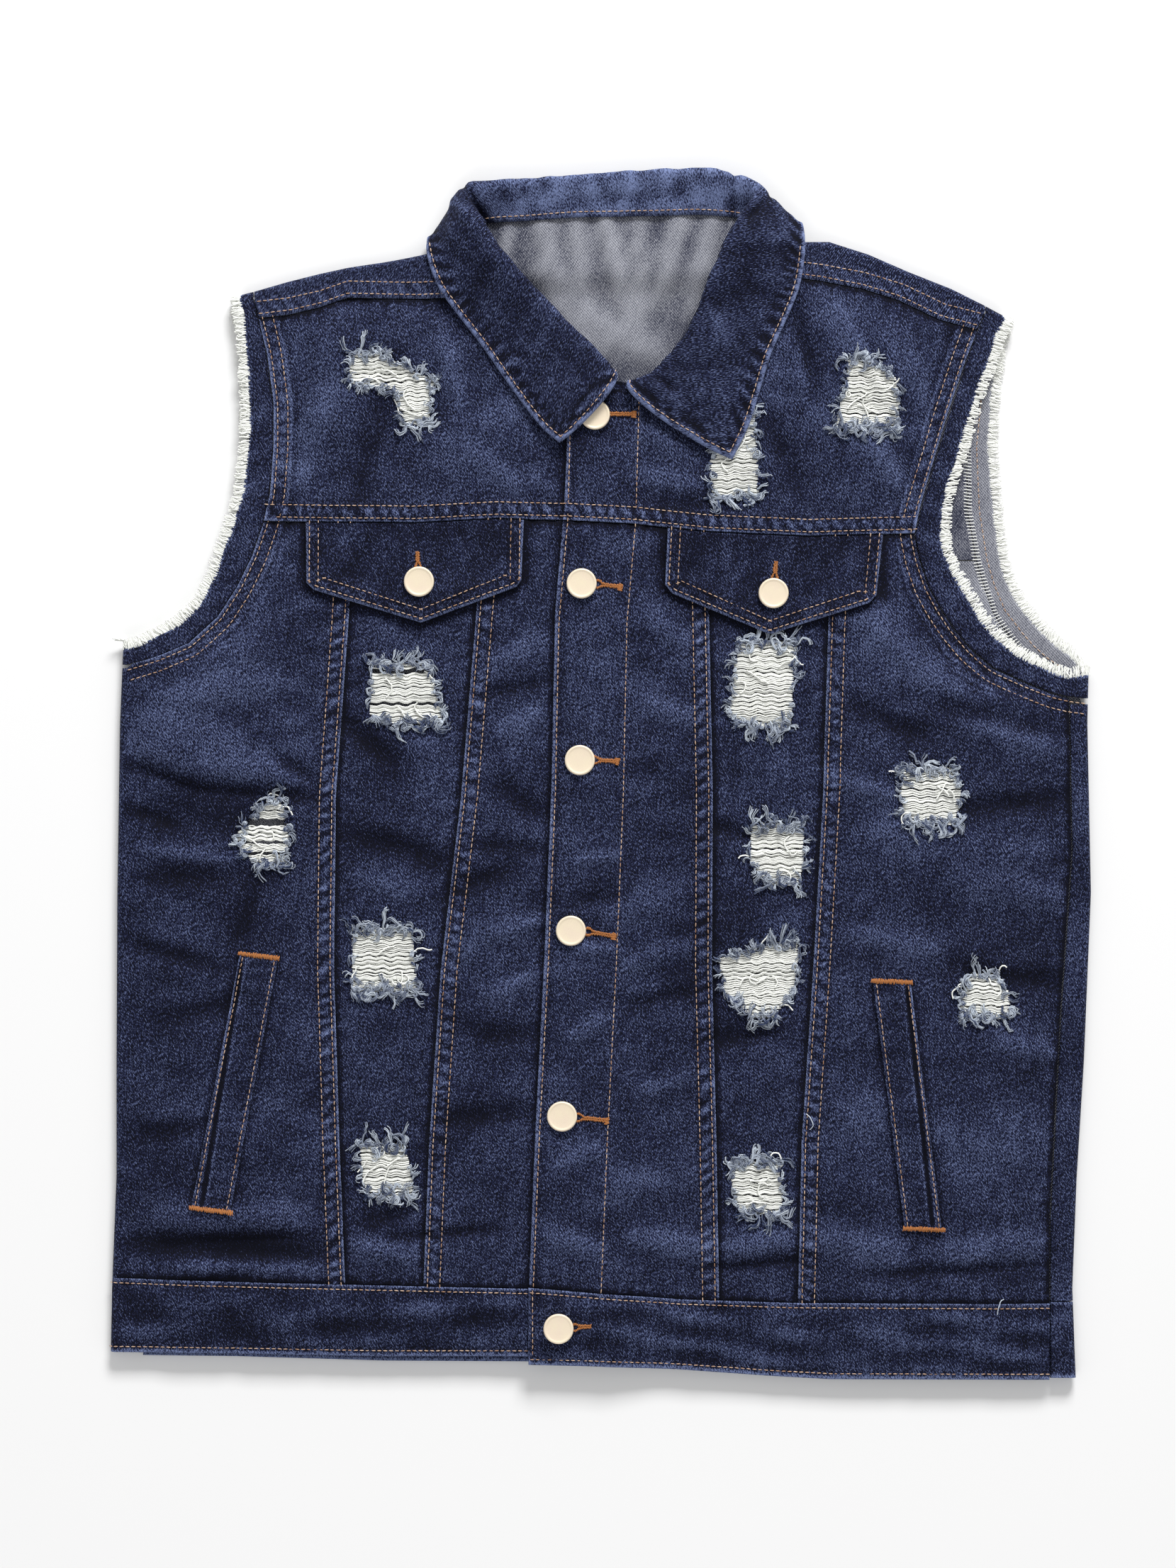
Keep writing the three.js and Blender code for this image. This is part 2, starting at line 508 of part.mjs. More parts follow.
// An upright block with the outline of a rip, for cutting it through
function ripBlock(rip) {
  const outline = rip.map((row) => new THREE.Vector2(row.right, row.y));
  for (const row of [...rip].reverse()) outline.push(new THREE.Vector2(row.left, row.y));
  const block = new THREE.ExtrudeGeometry(new THREE.Shape(outline), { depth: 40, bevelEnabled: false });
  return toSolid(block.translate(0, 0, 3));
}

function shankHole(button, low) {
  const drill = new THREE.CylinderGeometry(BUTTON.hole, BUTTON.hole, 30, 10);
  return toSolid(drill.rotateX(Math.PI / 2).translate(button.x, button.y, low + 15));
}

function cut(geometry, blocks) {
  return toGeometry(blocks.reduce((solid, block) => solid.subtract(block), toSolid(geometry)));
}

// Columns of a panel: its own seam bands at either side, and even steps between them
function panelColumns(steps, bandLeft, bandRight) {
  const columns = [];
  if (bandLeft) columns.push({ from: 'left', inset: 0, rise: 1 }, { from: 'left', inset: BAND, rise: 1 });
  for (let k = 0; k <= steps; k += 1) columns.push({ from: 'both', share: k / steps, rise: 0 });
  if (bandRight) columns.push({ from: 'right', inset: BAND, rise: 1 }, { from: 'right', inset: 0, rise: 1 });
  return columns;
}

function columnX(column, left, right, bandLeft, bandRight) {
  if (column.from === 'left') return left + column.inset;
  if (column.from === 'right') return right - column.inset;
  const inset = BAND + 1;
  return THREE.MathUtils.lerp(left + (bandLeft ? inset : 0), right - (bandRight ? inset : 0), column.share);
}

// A lower front panel. Its rows lean with the waist seam below and the yoke seam above.
function frontPanel({ side, left, right, steps, bandLeft = false, bandRight = false, wrapped = false }) {
  const rows = side === 'left' ? LEFT_ROWS : RIGHT_ROWS;
  const low = rows[0];
  const high = rows[rows.length - 1];
  const columns = panelColumns(steps, bandLeft, bandRight);
  const turns = wrapped ? [-Math.PI * EDGE_RADIUS - UNDER_REACH, ...[1, 0.75, 0.5, 0.25].map(
    (share) => -Math.PI * EDGE_RADIUS * share)] : [];
  const lift = (x, y) => (side === 'right' ? placketLift(x, y) : 0);
  return clothWall(rows.length, turns.length + columns.length, (i, j, deep) => {
    const nominal = rows[i];
    const start = left(nominal);
    const column = columns[j - turns.length];
    const x = column ? columnX(column, start, right(nominal), bandLeft, bandRight) : start + turns[j];
    const share = (nominal - low) / (high - low);
    const fromWaist = read(waist, 'x', side, x) + SEAM_GAP - low;
    const fromYoke = read(yokeSeam, 'x', 'y', x) - SEAM_GAP - high;
    const y = nominal + (1 - share) * fromWaist + share * fromYoke;
    const rise = column ? column.rise * BAND_RISE : 0;
    return layCloth(x, y, deep * CLOTH - rise * (1 - deep), lift(x, y));
  }, (i, j) => j >= turns.length || rows[i + 1] <= 60);
}

const seamAt = (column, gap = 0) => (y) => read(downSeams, 'y', column, y) + gap;
const lapEnd = (y) => read(downSeams, 'y', 'placket', y) + LAP_WIDTH;
const leftStart = (y) => (
  y <= 60 ? read(sides, 'y', 'left', y) + EDGE_RADIUS : read(armFrontLeft, 'y', 'x', y));
const rightEnd = (y) => (
  y < 42.5 ? read(sideSeam, 'y', 'x', y) : read(armFrontRight, 'y', 'x', y)) - SEAM_GAP;

// A front yoke: from the yoke seam up to the shoulder seam and the neckline
function frontYoke({ side, neck, arm, armRows, inner }) {
  const low = armRows[0];
  const high = armRows[armRows.length - 1];
  const rows = [low, low + BAND, low + BAND + 1, ...armRows.slice(1)];
  const xs = neck.map((row) => row.x);
  const span = xs[xs.length - 1] - xs[0];
  const lift = (x, y) => (side === 'right' ? placketLift(x, y) : 0);
  return clothWall(rows.length, xs.length, (i, j, deep) => {
    const nominal = rows[i];
    const armX = read(arm, 'y', 'x', nominal);
    const ends = side === 'left' ? [armX, inner(nominal)] : [inner(nominal), armX];
    const x = THREE.MathUtils.lerp(ends[0], ends[1], (xs[j] - xs[0]) / span);
    const share = (nominal - low) / (high - low);
    const top = read(neck, 'x', 'y', x) - SEAM_GAP;
    const bottom = read(yokeSeam, 'x', 'y', x) + SEAM_GAP;
    const y = i < 2 ? bottom + i * BAND : THREE.MathUtils.lerp(bottom, top, share);
    const rise = i < 2 ? BAND_RISE : 0;
    return layCloth(x, y, deep * CLOTH - rise * (1 - deep), lift(x, y));
  });
}

// The back below its yoke, turned round the right edge up to the side seam
function backPanel() {
  const turns = [0, 0.25, 0.5, 0.75].map((share) => share * Math.PI * EDGE_RADIUS);
  const steps = 6;
  return clothWall(BACK_ROWS.length, 1 + turns.length + steps + 1, (i, j, deep) => {
    const nominal = BACK_ROWS[i];
    const lean = Math.max(0, 1 - (nominal - BACK_ROWS[0]) / BACK_LEAN_RUN);
    const underYoke = i === BACK_ROWS.length - 1 ? SEAM_GAP : 0;
    const lay = (x, flat) => {
      const y = nominal + lean * (read(waist, 'x', 'back', x) + SEAM_GAP - BACK_ROWS[0]) - underYoke;
      if (flat) return new THREE.Vector3(x, y, deep * CLOTH);
      return layCloth(x, y, deep * CLOTH);
    };
    const edge = read(sides, 'y', 'right', nominal) - EDGE_RADIUS;
    if (j === 0) return lay(read(sideSeam, 'y', 'x', nominal) + SEAM_GAP, false);
    if (j <= turns.length) return lay(edge + turns[j - 1], false);
    const right = nominal <= 41.5 ? edge : read(armBackRight, 'y', 'x', nominal);
    const under = read(sides, 'y', 'left', nominal) + EDGE_RADIUS + UNDER_REACH + UNDER_GAP;
    const left = nominal <= 60 ? under : read(armBackLeft, 'y', 'x', nominal);
    return lay(THREE.MathUtils.lerp(right, left, (j - 1 - turns.length) / steps), true);
  }, (i, j) => j > turns.length || BACK_ROWS[i + 1] <= 41.5);
}

// The back yoke, which turns over the shoulder folds down to the shoulder seams on the front
function backYoke() {
  const climbs = [0.4, 0.7, 1];
  const arcs = [0.25, 0.5, 0.75];
  const overs = [0, 0.3, 0.65, 1];
  const flatRows = YOKE_ROWS.length + climbs.length;
  const first = shoulders[0].foldX;
  const span = shoulders[shoulders.length - 1].foldX - first;
  const rowCount = flatRows + arcs.length + overs.length;
  return clothWall(rowCount, shoulders.length, (i, j, deep) => {
    const column = shoulders[j];
    const top = column.foldY - (column.neck ? 0 : EDGE_RADIUS);
    const lastRow = YOKE_ROWS[YOKE_ROWS.length - 1];
    if (i < flatRows) {
      const y = i < YOKE_ROWS.length ? YOKE_ROWS[i] + (i === 0 ? SEAM_GAP : 0)
        : THREE.MathUtils.lerp(lastRow, top, climbs[i - YOKE_ROWS.length]);
      const across = (column.foldX - first) / span;
      const left = read(armBackLeft, 'y', 'x', y);
      const right = read(armBackRight, 'y', 'x', y);
      const x = i === flatRows - 1 ? column.foldX : THREE.MathUtils.lerp(left, right, across);
      return new THREE.Vector3(x, y, backLift(x, y) + deep * CLOTH);
    }
    if (column.neck) return new THREE.Vector3(column.foldX, column.foldY, deep);
    const under = backLift(column.foldX, top);
    const radius = (frontHeight(column.foldX, top) - under) / 2;
    const reach = radius - deep * CLOTH;
    if (i < flatRows + arcs.length) {
      const angle = arcs[i - flatRows] * Math.PI;
      const y = top + EDGE_RADIUS / radius * reach * Math.sin(angle);
      return new THREE.Vector3(column.foldX, y, under + radius - reach * Math.cos(angle));
    }
    const share = overs[i - flatRows - arcs.length];
    const x = THREE.MathUtils.lerp(column.foldX, column.seamX, share);
    const y = THREE.MathUtils.lerp(top, column.seamY + SEAM_GAP, share);
    const rise = share > 0.5 ? BAND_RISE : 0;
    return new THREE.Vector3(x, y, frontHeight(x, y) - deep * CLOTH + rise * (1 - deep));
  }, (i, j) => i < flatRows - 1 || !(shoulders[j].neck || shoulders[j + 1].neck));
}

// A waistband on the upper layer from x to x, turned under at the left
function frontWaistband(side, from, to, steps) {
  const turns = side === 'left' ? [-Math.PI * EDGE_RADIUS - UNDER_REACH, ...[1, 0.75, 0.5, 0.25].map(
    (share) => -Math.PI * EDGE_RADIUS * share)] : [];
  const lift = side === 'left' ? 0 : WAIST_LAP;
  return clothWall(3, turns.length + steps + 1, (i, j, deep) => {
    const x = j < turns.length ? from + turns[j] : THREE.MathUtils.lerp(from, to, (j - turns.length) / steps);
    const y = THREE.MathUtils.lerp(read(hem, 'x', side, x), read(waist, 'x', side, x), i / 2);
    const fade = side === 'left' ? 0 : lift * (1 - ease((x - 2) / 40));
    const turned = j < turns.length;
    const depth = turned ? deep * WAIST_WALL : deep * WAIST_WALL - WAIST_RISE;
    return layCloth(x, y, depth, fade);
  });
}

function backWaistband() {
  const turns = [0, 0.25, 0.5, 0.75].map((share) => share * Math.PI * EDGE_RADIUS);
  const steps = 9;
  return clothWall(3, 1 + turns.length + steps + 1, (i, j, deep) => {
    const edge = read(sides, 'y', 'right', -320) - EDGE_RADIUS;
    const left = read(sides, 'y', 'left', -285) + EDGE_RADIUS + UNDER_REACH + UNDER_GAP;
    let x = THREE.MathUtils.lerp(edge, left, (j - 1 - turns.length) / steps);
    if (j === 0) x = read(sideSeam, 'y', 'x', -320) + SEAM_GAP;
    if (j > 0 && j <= turns.length) x = edge + turns[j - 1];
    const y = THREE.MathUtils.lerp(read(hem, 'x', 'back', x), read(waist, 'x', 'back', x) - SEAM_GAP, i / 2);
    if (j > turns.length) return new THREE.Vector3(x, y, deep * WAIST_WALL);
    return layCloth(x, y, deep * WAIST_WALL);
  });
}

function flapWall(flap) {
  const steps = 8;
  const downs = 4;
  const lift = (x, y) => (flap.side === 'right' ? placketLift(x, y) : 0);
  return clothWall(downs + 1, steps + 1, (i, j, deep) => {
    const fall = i / downs;
    const share = j / steps;
    const bottomX = THREE.MathUtils.lerp(flap.bottom[0], flap.bottom[1], share);
    const topX = THREE.MathUtils.lerp(flap.top[0], flap.top[1], share);
    const x = THREE.MathUtils.lerp(topX, bottomX, fall);
    const top = read(yokeSeam, 'x', 'y', x) - SEAM_GAP;
    const y = THREE.MathUtils.lerp(top, read(flap.point, 'x', 'y', bottomX), fall);
    const base = SEAM_GAP + BAND_RISE;
    return layCloth(x, y, -base - (1 - deep) * FLAP_WALL, lift(x, y));
  });
}

function weltWall(welt) {
  return clothWall(9, 3, (i, j, deep) => {
    const fall = i / 8;
    const left = THREE.MathUtils.lerp(welt.topX[0], welt.bottomX[0], fall);
    const right = THREE.MathUtils.lerp(welt.topX[1], welt.bottomX[1], fall);
    const x = THREE.MathUtils.lerp(left, right, j / 2);
    const y = THREE.MathUtils.lerp(welt.topY, welt.bottomY, fall) + welt.tilt * j / 2;
    return layCloth(x, y, -WELT_SEAT - (1 - deep) * WELT_WALL);
  });
}

// The collar's middle surface at a station: two curves, from its seam up to the roll and from the
// roll down to its edge, that share one direction at the roll
function collarSection(station) {
  const { seamX, seamY, rollX, rollY, edgeX, edgeY } = station;
  const lapped = (x, y) => frontHeight(x, y) + (x > 0 ? placketLift(x, y) : 0);
  const base = (x, y) => (station.layer === 'front' ? lapped(x, y) : 0);
  const seam = new THREE.Vector3(seamX, seamY, base(seamX, seamY) + station.seamUp);
  const roll = new THREE.Vector3(rollX, rollY, base(seamX, seamY) + station.rollUp);
  const edge = new THREE.Vector3(edgeX, edgeY, base(edgeX, edgeY) + station.edgeUp);
  const out = THREE.MathUtils.degToRad(station.outward);
  const turn = THREE.MathUtils.degToRad(station.turn);
  const flat = Math.cos(turn);
  const over = new THREE.Vector3(flat * Math.cos(out), flat * Math.sin(out), Math.sin(turn));
  const leave = roll.clone().sub(seam).setZ(0).multiplyScalar(0.4);
  const arrive = edge.clone().sub(roll).setZ(0).multiplyScalar(0.4);
  const before = over.clone().multiplyScalar(-Math.min(station.bend, roll.distanceTo(seam) * 0.4));
  const after = over.clone().multiplyScalar(station.bend);
  const rising = new THREE.CubicBezierCurve3(seam, seam.clone().add(leave), roll.clone().add(before), roll);
  const falling = new THREE.CubicBezierCurve3(roll, roll.clone().add(after), edge.clone().sub(arrive), edge);
  const points = [0, 0.45, 0.8].map((share) => rising.getPoint(share));
  for (const share of [0, 0.15, 0.35, 0.6, 0.8, 1]) points.push(falling.getPoint(share));
  return points;
}

function collarWall() {
  const middle = collarStations.map(collarSection);
  const rows = middle.length;
  const columns = middle[0].length;
  return clothWall(rows, columns, (i, j, deep) => {
    const alongRow = middle[Math.min(i + 1, rows - 1)][j].clone().sub(middle[Math.max(i - 1, 0)][j]);
    const alongColumn = middle[i][Math.min(j + 1, columns - 1)].clone().sub(middle[i][Math.max(j - 1, 0)]);
    const normal = alongRow.cross(alongColumn).normalize();
    return middle[i][j].clone().addScaledVector(normal, COLLAR_WALL * (deep - 0.5));
  });
}

// The strip of sleeve outside an armhole seam, station by station, on the upper or the lower layer
function stubStations(rows, layer, before = [], after = []) {
  const stations = rows.map((row) => ({ ...row, layer }));
  return [...before, ...stations, ...after];
}

function turnOver(x, foldY, angle, depth) {
  const reach = EDGE_RADIUS - depth;
  const y = foldY - EDGE_RADIUS + reach * Math.sin(angle);
  return new THREE.Vector3(x, y, EDGE_RADIUS + reach * Math.cos(angle));
}

function stubPoint(station, share, depth) {
  const seam = new THREE.Vector2(station.x, station.y);
  const raw = new THREE.Vector2(station.rawX, station.rawY);
  const gap = ARMHOLE_GAP / seam.distanceTo(raw);
  const place = seam.lerp(raw, gap + share * (1 - gap));
  if (station.layer === 'fold') return turnOver(place.x, place.y, station.angle, depth);
  if (station.layer === 'floor') return new THREE.Vector3(place.x, place.y, CLOTH - depth);
  return layCloth(place.x, place.y, depth);
}

function foldStations(seamX, foldY, rawX, rawY) {
  return [0, 45, 90, 135, 178].map((degrees) => ({ layer: 'fold', angle: THREE.MathUtils.degToRad(degrees),
    x: seamX, y: foldY, rawX, rawY }));
}

function stubWall(stations) {
  return clothWall(stations.length, 3, (i, j, deep) => stubPoint(stations[i], j / 2, deep * CLOTH));
}

// Stations that carry a front stub round the side edge below the arm
function edgeStations(row, side) {
  const shift = (share) => side * share * Math.PI * EDGE_RADIUS;
  return [1, 0.66, 0.33].map((share) => ({ layer: 'front', x: row.x + shift(share), y: row.y,
    rawX: row.rawX + shift(share), rawY: row.rawY }));
}

const stubs = {
  front_left: stubStations(armFrontLeft, 'front', edgeStations(armFrontLeft[0], -1),
    foldStations(-196, 272, -204, 270)),
  front_right: stubStations(armFrontRight, 'front', edgeStations(armFrontRight[0], 1),
    foldStations(217, 264, 228, 258)),
  back_left: stubStations(armBackLeft, 'floor'),
  back_right: stubStations(armBackRight, 'floor'),
};

// Frayed edge: one narrow strip along a stub's raw edge with the strands fused to it
function fringeWall(stations, salt) {
  const onEdge = (station, out, depth) => {
    const seam = new THREE.Vector2(station.x, station.y);
    const raw = new THREE.Vector2(station.rawX, station.rawY);
    const reach = seam.distanceTo(raw) - ARMHOLE_GAP + SEAM_GAP + out;
    return stubPoint(station, reach / (seam.distanceTo(raw) - ARMHOLE_GAP), depth);
  };
  const sunk = (CLOTH - FRINGE.wall) / 2;
  const strip = clothWall(stations.length, 2, (i, j, deep) => onEdge(stations[i], j * FRINGE.strip,
    sunk + deep * FRINGE.wall));
  const parts = [toSolid(strip)];
  for (let k = 0; k < FRINGE.strands; k += 1) {
    const along = (k + 0.6 + 0.2 * scatter(k, salt)) / (FRINGE.strands + 0.2) * (stations.length - 1);
    const i = Math.min(Math.floor(along), stations.length - 2);
    const share = along - i;
    const root = onEdge(stations[i], FRINGE.strip - 1, CLOTH / 2).lerp(
      onEdge(stations[i + 1], FRINGE.strip - 1, CLOTH / 2), share);
    const tip = onEdge(stations[i], FRINGE.strip + 1, CLOTH / 2).lerp(
      onEdge(stations[i + 1], FRINGE.strip + 1, CLOTH / 2), share);
    const way = tip.sub(root).normalize();
    way.x += 0.25 * scatter(k, salt + 1);
    way.y += 0.25 * scatter(k, salt + 2);
    const length = FRINGE.length * (1 + 0.25 * scatter(k, salt + 3)) + 1;
    const strand = new THREE.ConeGeometry(FRINGE.width, length, 3, 1);
    strand.translate(0, length / 2, 0);
    const up = new THREE.Vector3(0, 1, 0);
    strand.applyQuaternion(new THREE.Quaternion().setFromUnitVectors(up, way.normalize()));
    strand.translate(root.x, root.y, Math.max(root.z, FRINGE.width + 0.05));
    parts.push(toSolid(strand));
  }
  return toGeometry(wasm.Manifold.union(parts));
}

// A metal button: a dished disc with a rounded rim on a shank that passes through its hole
function buttonGeometry(shankLength) {
  const profile = [[0, -shankLength], [BUTTON.shank, -shankLength], [BUTTON.shank, 0], [7.4, 0],
    [BUTTON.radius, 1.2], [7.9, 2.4], [6.5, 2.2], [0, 2]]
    .map(([radius, height]) => new THREE.Vector2(radius, height));
  return new THREE.LatheGeometry(profile, 14).rotateX(Math.PI / 2);
}

function buttonSeat(button, surface) {
  let seat = surface(button.x, button.y);
  for (let k = 0; k < 8; k += 1) {
    const angle = k * Math.PI / 4;
    seat = Math.max(seat, surface(button.x + 8 * Math.cos(angle), button.y + 8 * Math.sin(angle)));
  }
  return seat + BUTTON.seat;
}

// Weft threads that still span a rip: one thin ridged patch just inside the hole
function threadPatch(rip, side) {
  const low = rip[0].y + THREAD.clear;
  const high = rip[rip.length - 1].y - THREAD.clear;
  const ridges = Math.max(3, Math.round((high - low) / THREAD.pitch));
  const rows = 2 * ridges + 1;
  const step = (high - low) / (rows - 1);
  const widest = (column, y, pick) => pick(...[-step, 0, step].map((off) => read(rip, 'y', column, y + off)));
  return clothWall(rows, 2, (i, j, deep) => {
    const y = low + i * step;
    const left = widest('left', y, Math.max) + THREAD.clear;
    const right = widest('right', y, Math.min) - THREAD.clear;
    const x = j ? right : left;
    const wave = (i % 2 ? 1 : -1) * THREAD.wave;
    const lift = side === 'right' ? placketLift(x, y) : 0;
    return layCloth(x, y, THREAD.sunk - wave + deep * THREAD.wall, lift);
  });
}

// Materials
const denim = () => new THREE.MeshStandardMaterial({ color: 0x2a3156, roughness: 0.9, metalness: 0 });
const cotton = () => new THREE.MeshStandardMaterial({ color: 0xe6e4d8, roughness: 0.95, metalness: 0 });
const metal = () => new THREE.MeshStandardMaterial({ color: 0xb9a08c, roughness: 0.35, metalness: 1 });

const vest = new THREE.Group();
vest.position.set(-MIDDLE.x, -MIDDLE.y, 0);

function add(name, geometry, material) {
  geometry.computeVertexNormals();
  const mesh = new THREE.Mesh(geometry, material);
  mesh.name = name;
  vest.add(mesh);
}

const ripCuts = (numbers) => numbers.map((number) => ripBlock(rips[number - 1]));
const rightSurface = (x, y) => frontHeight(x, y) + placketLift(x, y);
const holesBetween = (low, high) => placketButtons.filter((button) => button.y > low && button.y < high)
  .map((button) => shankHole(button, frontHeight(button.x, button.y) + 0.2));

// Back
add('back_panel', backPanel(), denim());
add('back_yoke', backYoke(), denim());

// Yokes of the front
const leftYoke = frontYoke({ side: 'left', neck: neckLeft, arm: armFrontLeft,
  armRows: [141.5, 157, 184.5, 208, 235, 256.5], inner: lapEnd });
const rightYoke = frontYoke({ side: 'right', neck: neckRight, arm: armFrontRight,
  armRows: [134.5, 147.5, 161, 177.5, 198, 216.5, 232, 250], inner: seamAt('placket') });
add('front_yoke_left', cut(leftYoke, ripCuts([1])), denim());
add('front_yoke_right', cut(rightYoke, [...ripCuts([2, 3]), ...holesBetween(142, 216)]), denim());

// Lower front panels
add('side_front_left', cut(frontPanel({ side: 'left', left: leftStart, right: seamAt('sideLeft'), steps: 6,
  bandRight: true, wrapped: true }), ripCuts([6])), denim());
add('mid_front_left', cut(frontPanel({ side: 'left', left: seamAt('sideLeft', SEAM_GAP),
  right: seamAt('centreLeft', -SEAM_GAP), steps: 5 }), ripCuts([4, 9, 12])), denim());
add('centre_front_left', frontPanel({ side: 'left', left: seamAt('centreLeft'), right: lapEnd, steps: 5,
  bandLeft: true }), denim());
add('centre_front_right', cut(frontPanel({ side: 'right', left: seamAt('placket'),
  right: seamAt('centreRight'), steps: 6, bandRight: true }), holesBetween(-280, 142)), denim());
add('mid_front_right', cut(frontPanel({ side: 'right', left: seamAt('centreRight', SEAM_GAP),
  right: seamAt('sideRight', -SEAM_GAP), steps: 5 }), ripCuts([5, 8, 10, 13])), denim());
add('side_front_right', cut(frontPanel({ side: 'right', left: seamAt('sideRight'), right: rightEnd, steps: 7,
  bandLeft: true }), ripCuts([7, 11])), denim());

// Waistband
const bandStart = read(sides, 'y', 'left', -310) + EDGE_RADIUS;
const bandEnd = read(sideSeam, 'y', 'x', -310) - SEAM_GAP;
const waistHole = shankHole(waistButton, frontHeight(waistButton.x, waistButton.y) + WAIST_RISE + 0.2);
add('waistband_back', backWaistband(), denim());
add('waistband_front_left', frontWaistband('left', bandStart, -5, 14), denim());
add('waistband_front_right', cut(frontWaistband('right', -41, bandEnd, 16), [waistHole]), denim());

// Flaps and pocket welts
const flapTop = SEAM_GAP + BAND_RISE + FLAP_WALL;
const flapHole = (button) => shankHole(button, frontHeight(button.x, button.y) + 0.5);
add('flap_left', cut(flapWall(flaps.left), [flapHole(flapButtons[0])]), denim());
add('flap_right', cut(flapWall(flaps.right), [flapHole(flapButtons[1])]), denim());
add('welt_left', weltWall(welts.left), denim());
add('welt_right', weltWall(welts.right), denim());

// Collar
add('collar', collarWall(), denim());

// Sleeve stubs and their frayed edges
Object.entries(stubs).forEach(([place, stations], index) => {
  add(`sleeve_stub_${place}`, stubWall(stations), denim());
  add(`fringe_${place}`, fringeWall(stations, index * 7 + 1), cotton());
});

// Buttons
for (const button of placketButtons) {
  const seat = buttonSeat(button, rightSurface);
  const shankLength = seat - frontHeight(button.x, button.y) - BUTTON.seat;
  add(button.name, buttonGeometry(shankLength).translate(button.x, button.y, seat), metal());
}
const waistSeat = buttonSeat(waistButton, (x, y) => frontHeight(x, y) + WAIST_RISE + WAIST_LAP);
const waistShank = waistSeat - frontHeight(waistButton.x, waistButton.y) - WAIST_RISE - BUTTON.seat;
add(waistButton.name, buttonGeometry(waistShank).translate(waistButton.x, waistButton.y, waistSeat), metal());
for (const button of flapButtons) {
  const lift = (x, y) => (button.side === 'right' ? placketLift(x, y) : 0);
  const seat = buttonSeat(button, (x, y) => frontHeight(x, y) + lift(x, y) + flapTop);
  const shankLength = seat - frontHeight(button.x, button.y) - lift(button.x, button.y) - BUTTON.seat;
  add(button.name, buttonGeometry(shankLength).translate(button.x, button.y, seat), metal());
}

// Threads across the rips
rips.forEach((rip, index) => {
  const side = rip[0].right > 0 ? 'right' : 'left';
  add(`rip_threads_${index + 1}`, threadPatch(rip, side), cotton());
});

export default vest;
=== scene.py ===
import math
import bpy
import numpy as np
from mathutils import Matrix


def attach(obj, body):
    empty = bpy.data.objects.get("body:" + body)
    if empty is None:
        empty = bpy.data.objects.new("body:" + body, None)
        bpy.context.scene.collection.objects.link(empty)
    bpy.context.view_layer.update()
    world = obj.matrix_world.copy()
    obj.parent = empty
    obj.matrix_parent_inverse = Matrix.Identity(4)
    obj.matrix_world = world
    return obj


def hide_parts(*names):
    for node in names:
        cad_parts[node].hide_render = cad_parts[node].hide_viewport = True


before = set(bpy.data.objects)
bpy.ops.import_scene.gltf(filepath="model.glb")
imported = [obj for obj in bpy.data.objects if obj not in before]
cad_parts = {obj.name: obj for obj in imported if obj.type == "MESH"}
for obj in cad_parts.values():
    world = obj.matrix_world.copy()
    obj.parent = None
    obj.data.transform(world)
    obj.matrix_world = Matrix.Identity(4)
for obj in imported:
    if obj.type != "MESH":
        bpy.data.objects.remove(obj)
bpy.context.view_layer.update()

# The table that the vest lies on: a plain pale board in a bright room, with a large soft lamp
# towards the collar. The camera hangs straight over it, as it did for the photograph.
# Colours are shown as they are, so that white yarn and board come out white.
bpy.context.scene.view_settings.view_transform = "Standard"
CAMERA = {"x": -0.0073, "y": -0.0055, "above": 2.408, "lens": 97.65}


def srgb(*levels):
    linear = [(v / 255 / 12.92 if v < 11 else ((v / 255 + 0.055) / 1.055) ** 2.4) for v in levels]
    return (*linear, 1.0)


def plain_finish(name, colour, roughness, metallic=0.0):
    finish = bpy.data.materials.new(name)
    finish.use_nodes = True
    shader = finish.node_tree.nodes["Principled BSDF"]
    shader.inputs["Base Color"].default_value = colour
    shader.inputs["Roughness"].default_value = roughness
    shader.inputs["Metallic"].default_value = metallic
    return finish


def mesh_piece(name, points, faces, finishes):
    mesh = bpy.data.meshes.new(name)
    mesh.from_pydata(points, [], faces)
    for finish in finishes:
        mesh.materials.append(finish)
    piece = bpy.data.objects.new(name, mesh)
    bpy.context.scene.collection.objects.link(piece)
    return piece


board_finish = plain_finish("pale_board", srgb(250, 250, 250), 0.85)
board = mesh_piece("table_top", [(-4, -4, -0.0008), (4, -4, -0.0008), (4, 4, -0.0008), (-4, 4, -0.0008)],
                   [(0, 1, 2, 3)], [board_finish])


def soft_lamp(name, place, size, power):
    lamp = bpy.data.objects.new(name, bpy.data.lights.new(name, "AREA"))
    lamp.data.shape = "RECTANGLE"
    lamp.data.size, lamp.data.size_y = size
    lamp.data.energy = power
    lamp.location = place
    lamp.rotation_euler = (math.atan2(math.hypot(place[0], place[1]), place[2]), 0,
                           math.atan2(place[1], place[0]) + math.pi / 2)
    bpy.context.scene.collection.objects.link(lamp)


soft_lamp("window_lamp", (0.9, 4.2, 2.3), (2.0, 1.2), 275)
soft_lamp("fill_lamp", (-0.6, -2.2, 2.0), (1.6, 1.6), 14)
room = bpy.data.worlds.new("bright_room")
room.use_nodes = True
room.node_tree.nodes["Background"].inputs["Color"].default_value = (1, 1, 1, 1)
room.node_tree.nodes["Background"].inputs["Strength"].default_value = 0.43
bpy.context.scene.world = room

camera = bpy.data.objects.new("camera", bpy.data.cameras.new("camera"))
camera.data.sensor_width = 36
camera.data.lens = CAMERA["lens"]
camera.location = (CAMERA["x"], CAMERA["y"], CAMERA["above"])
bpy.context.scene.collection.objects.link(camera)
bpy.context.scene.camera = camera

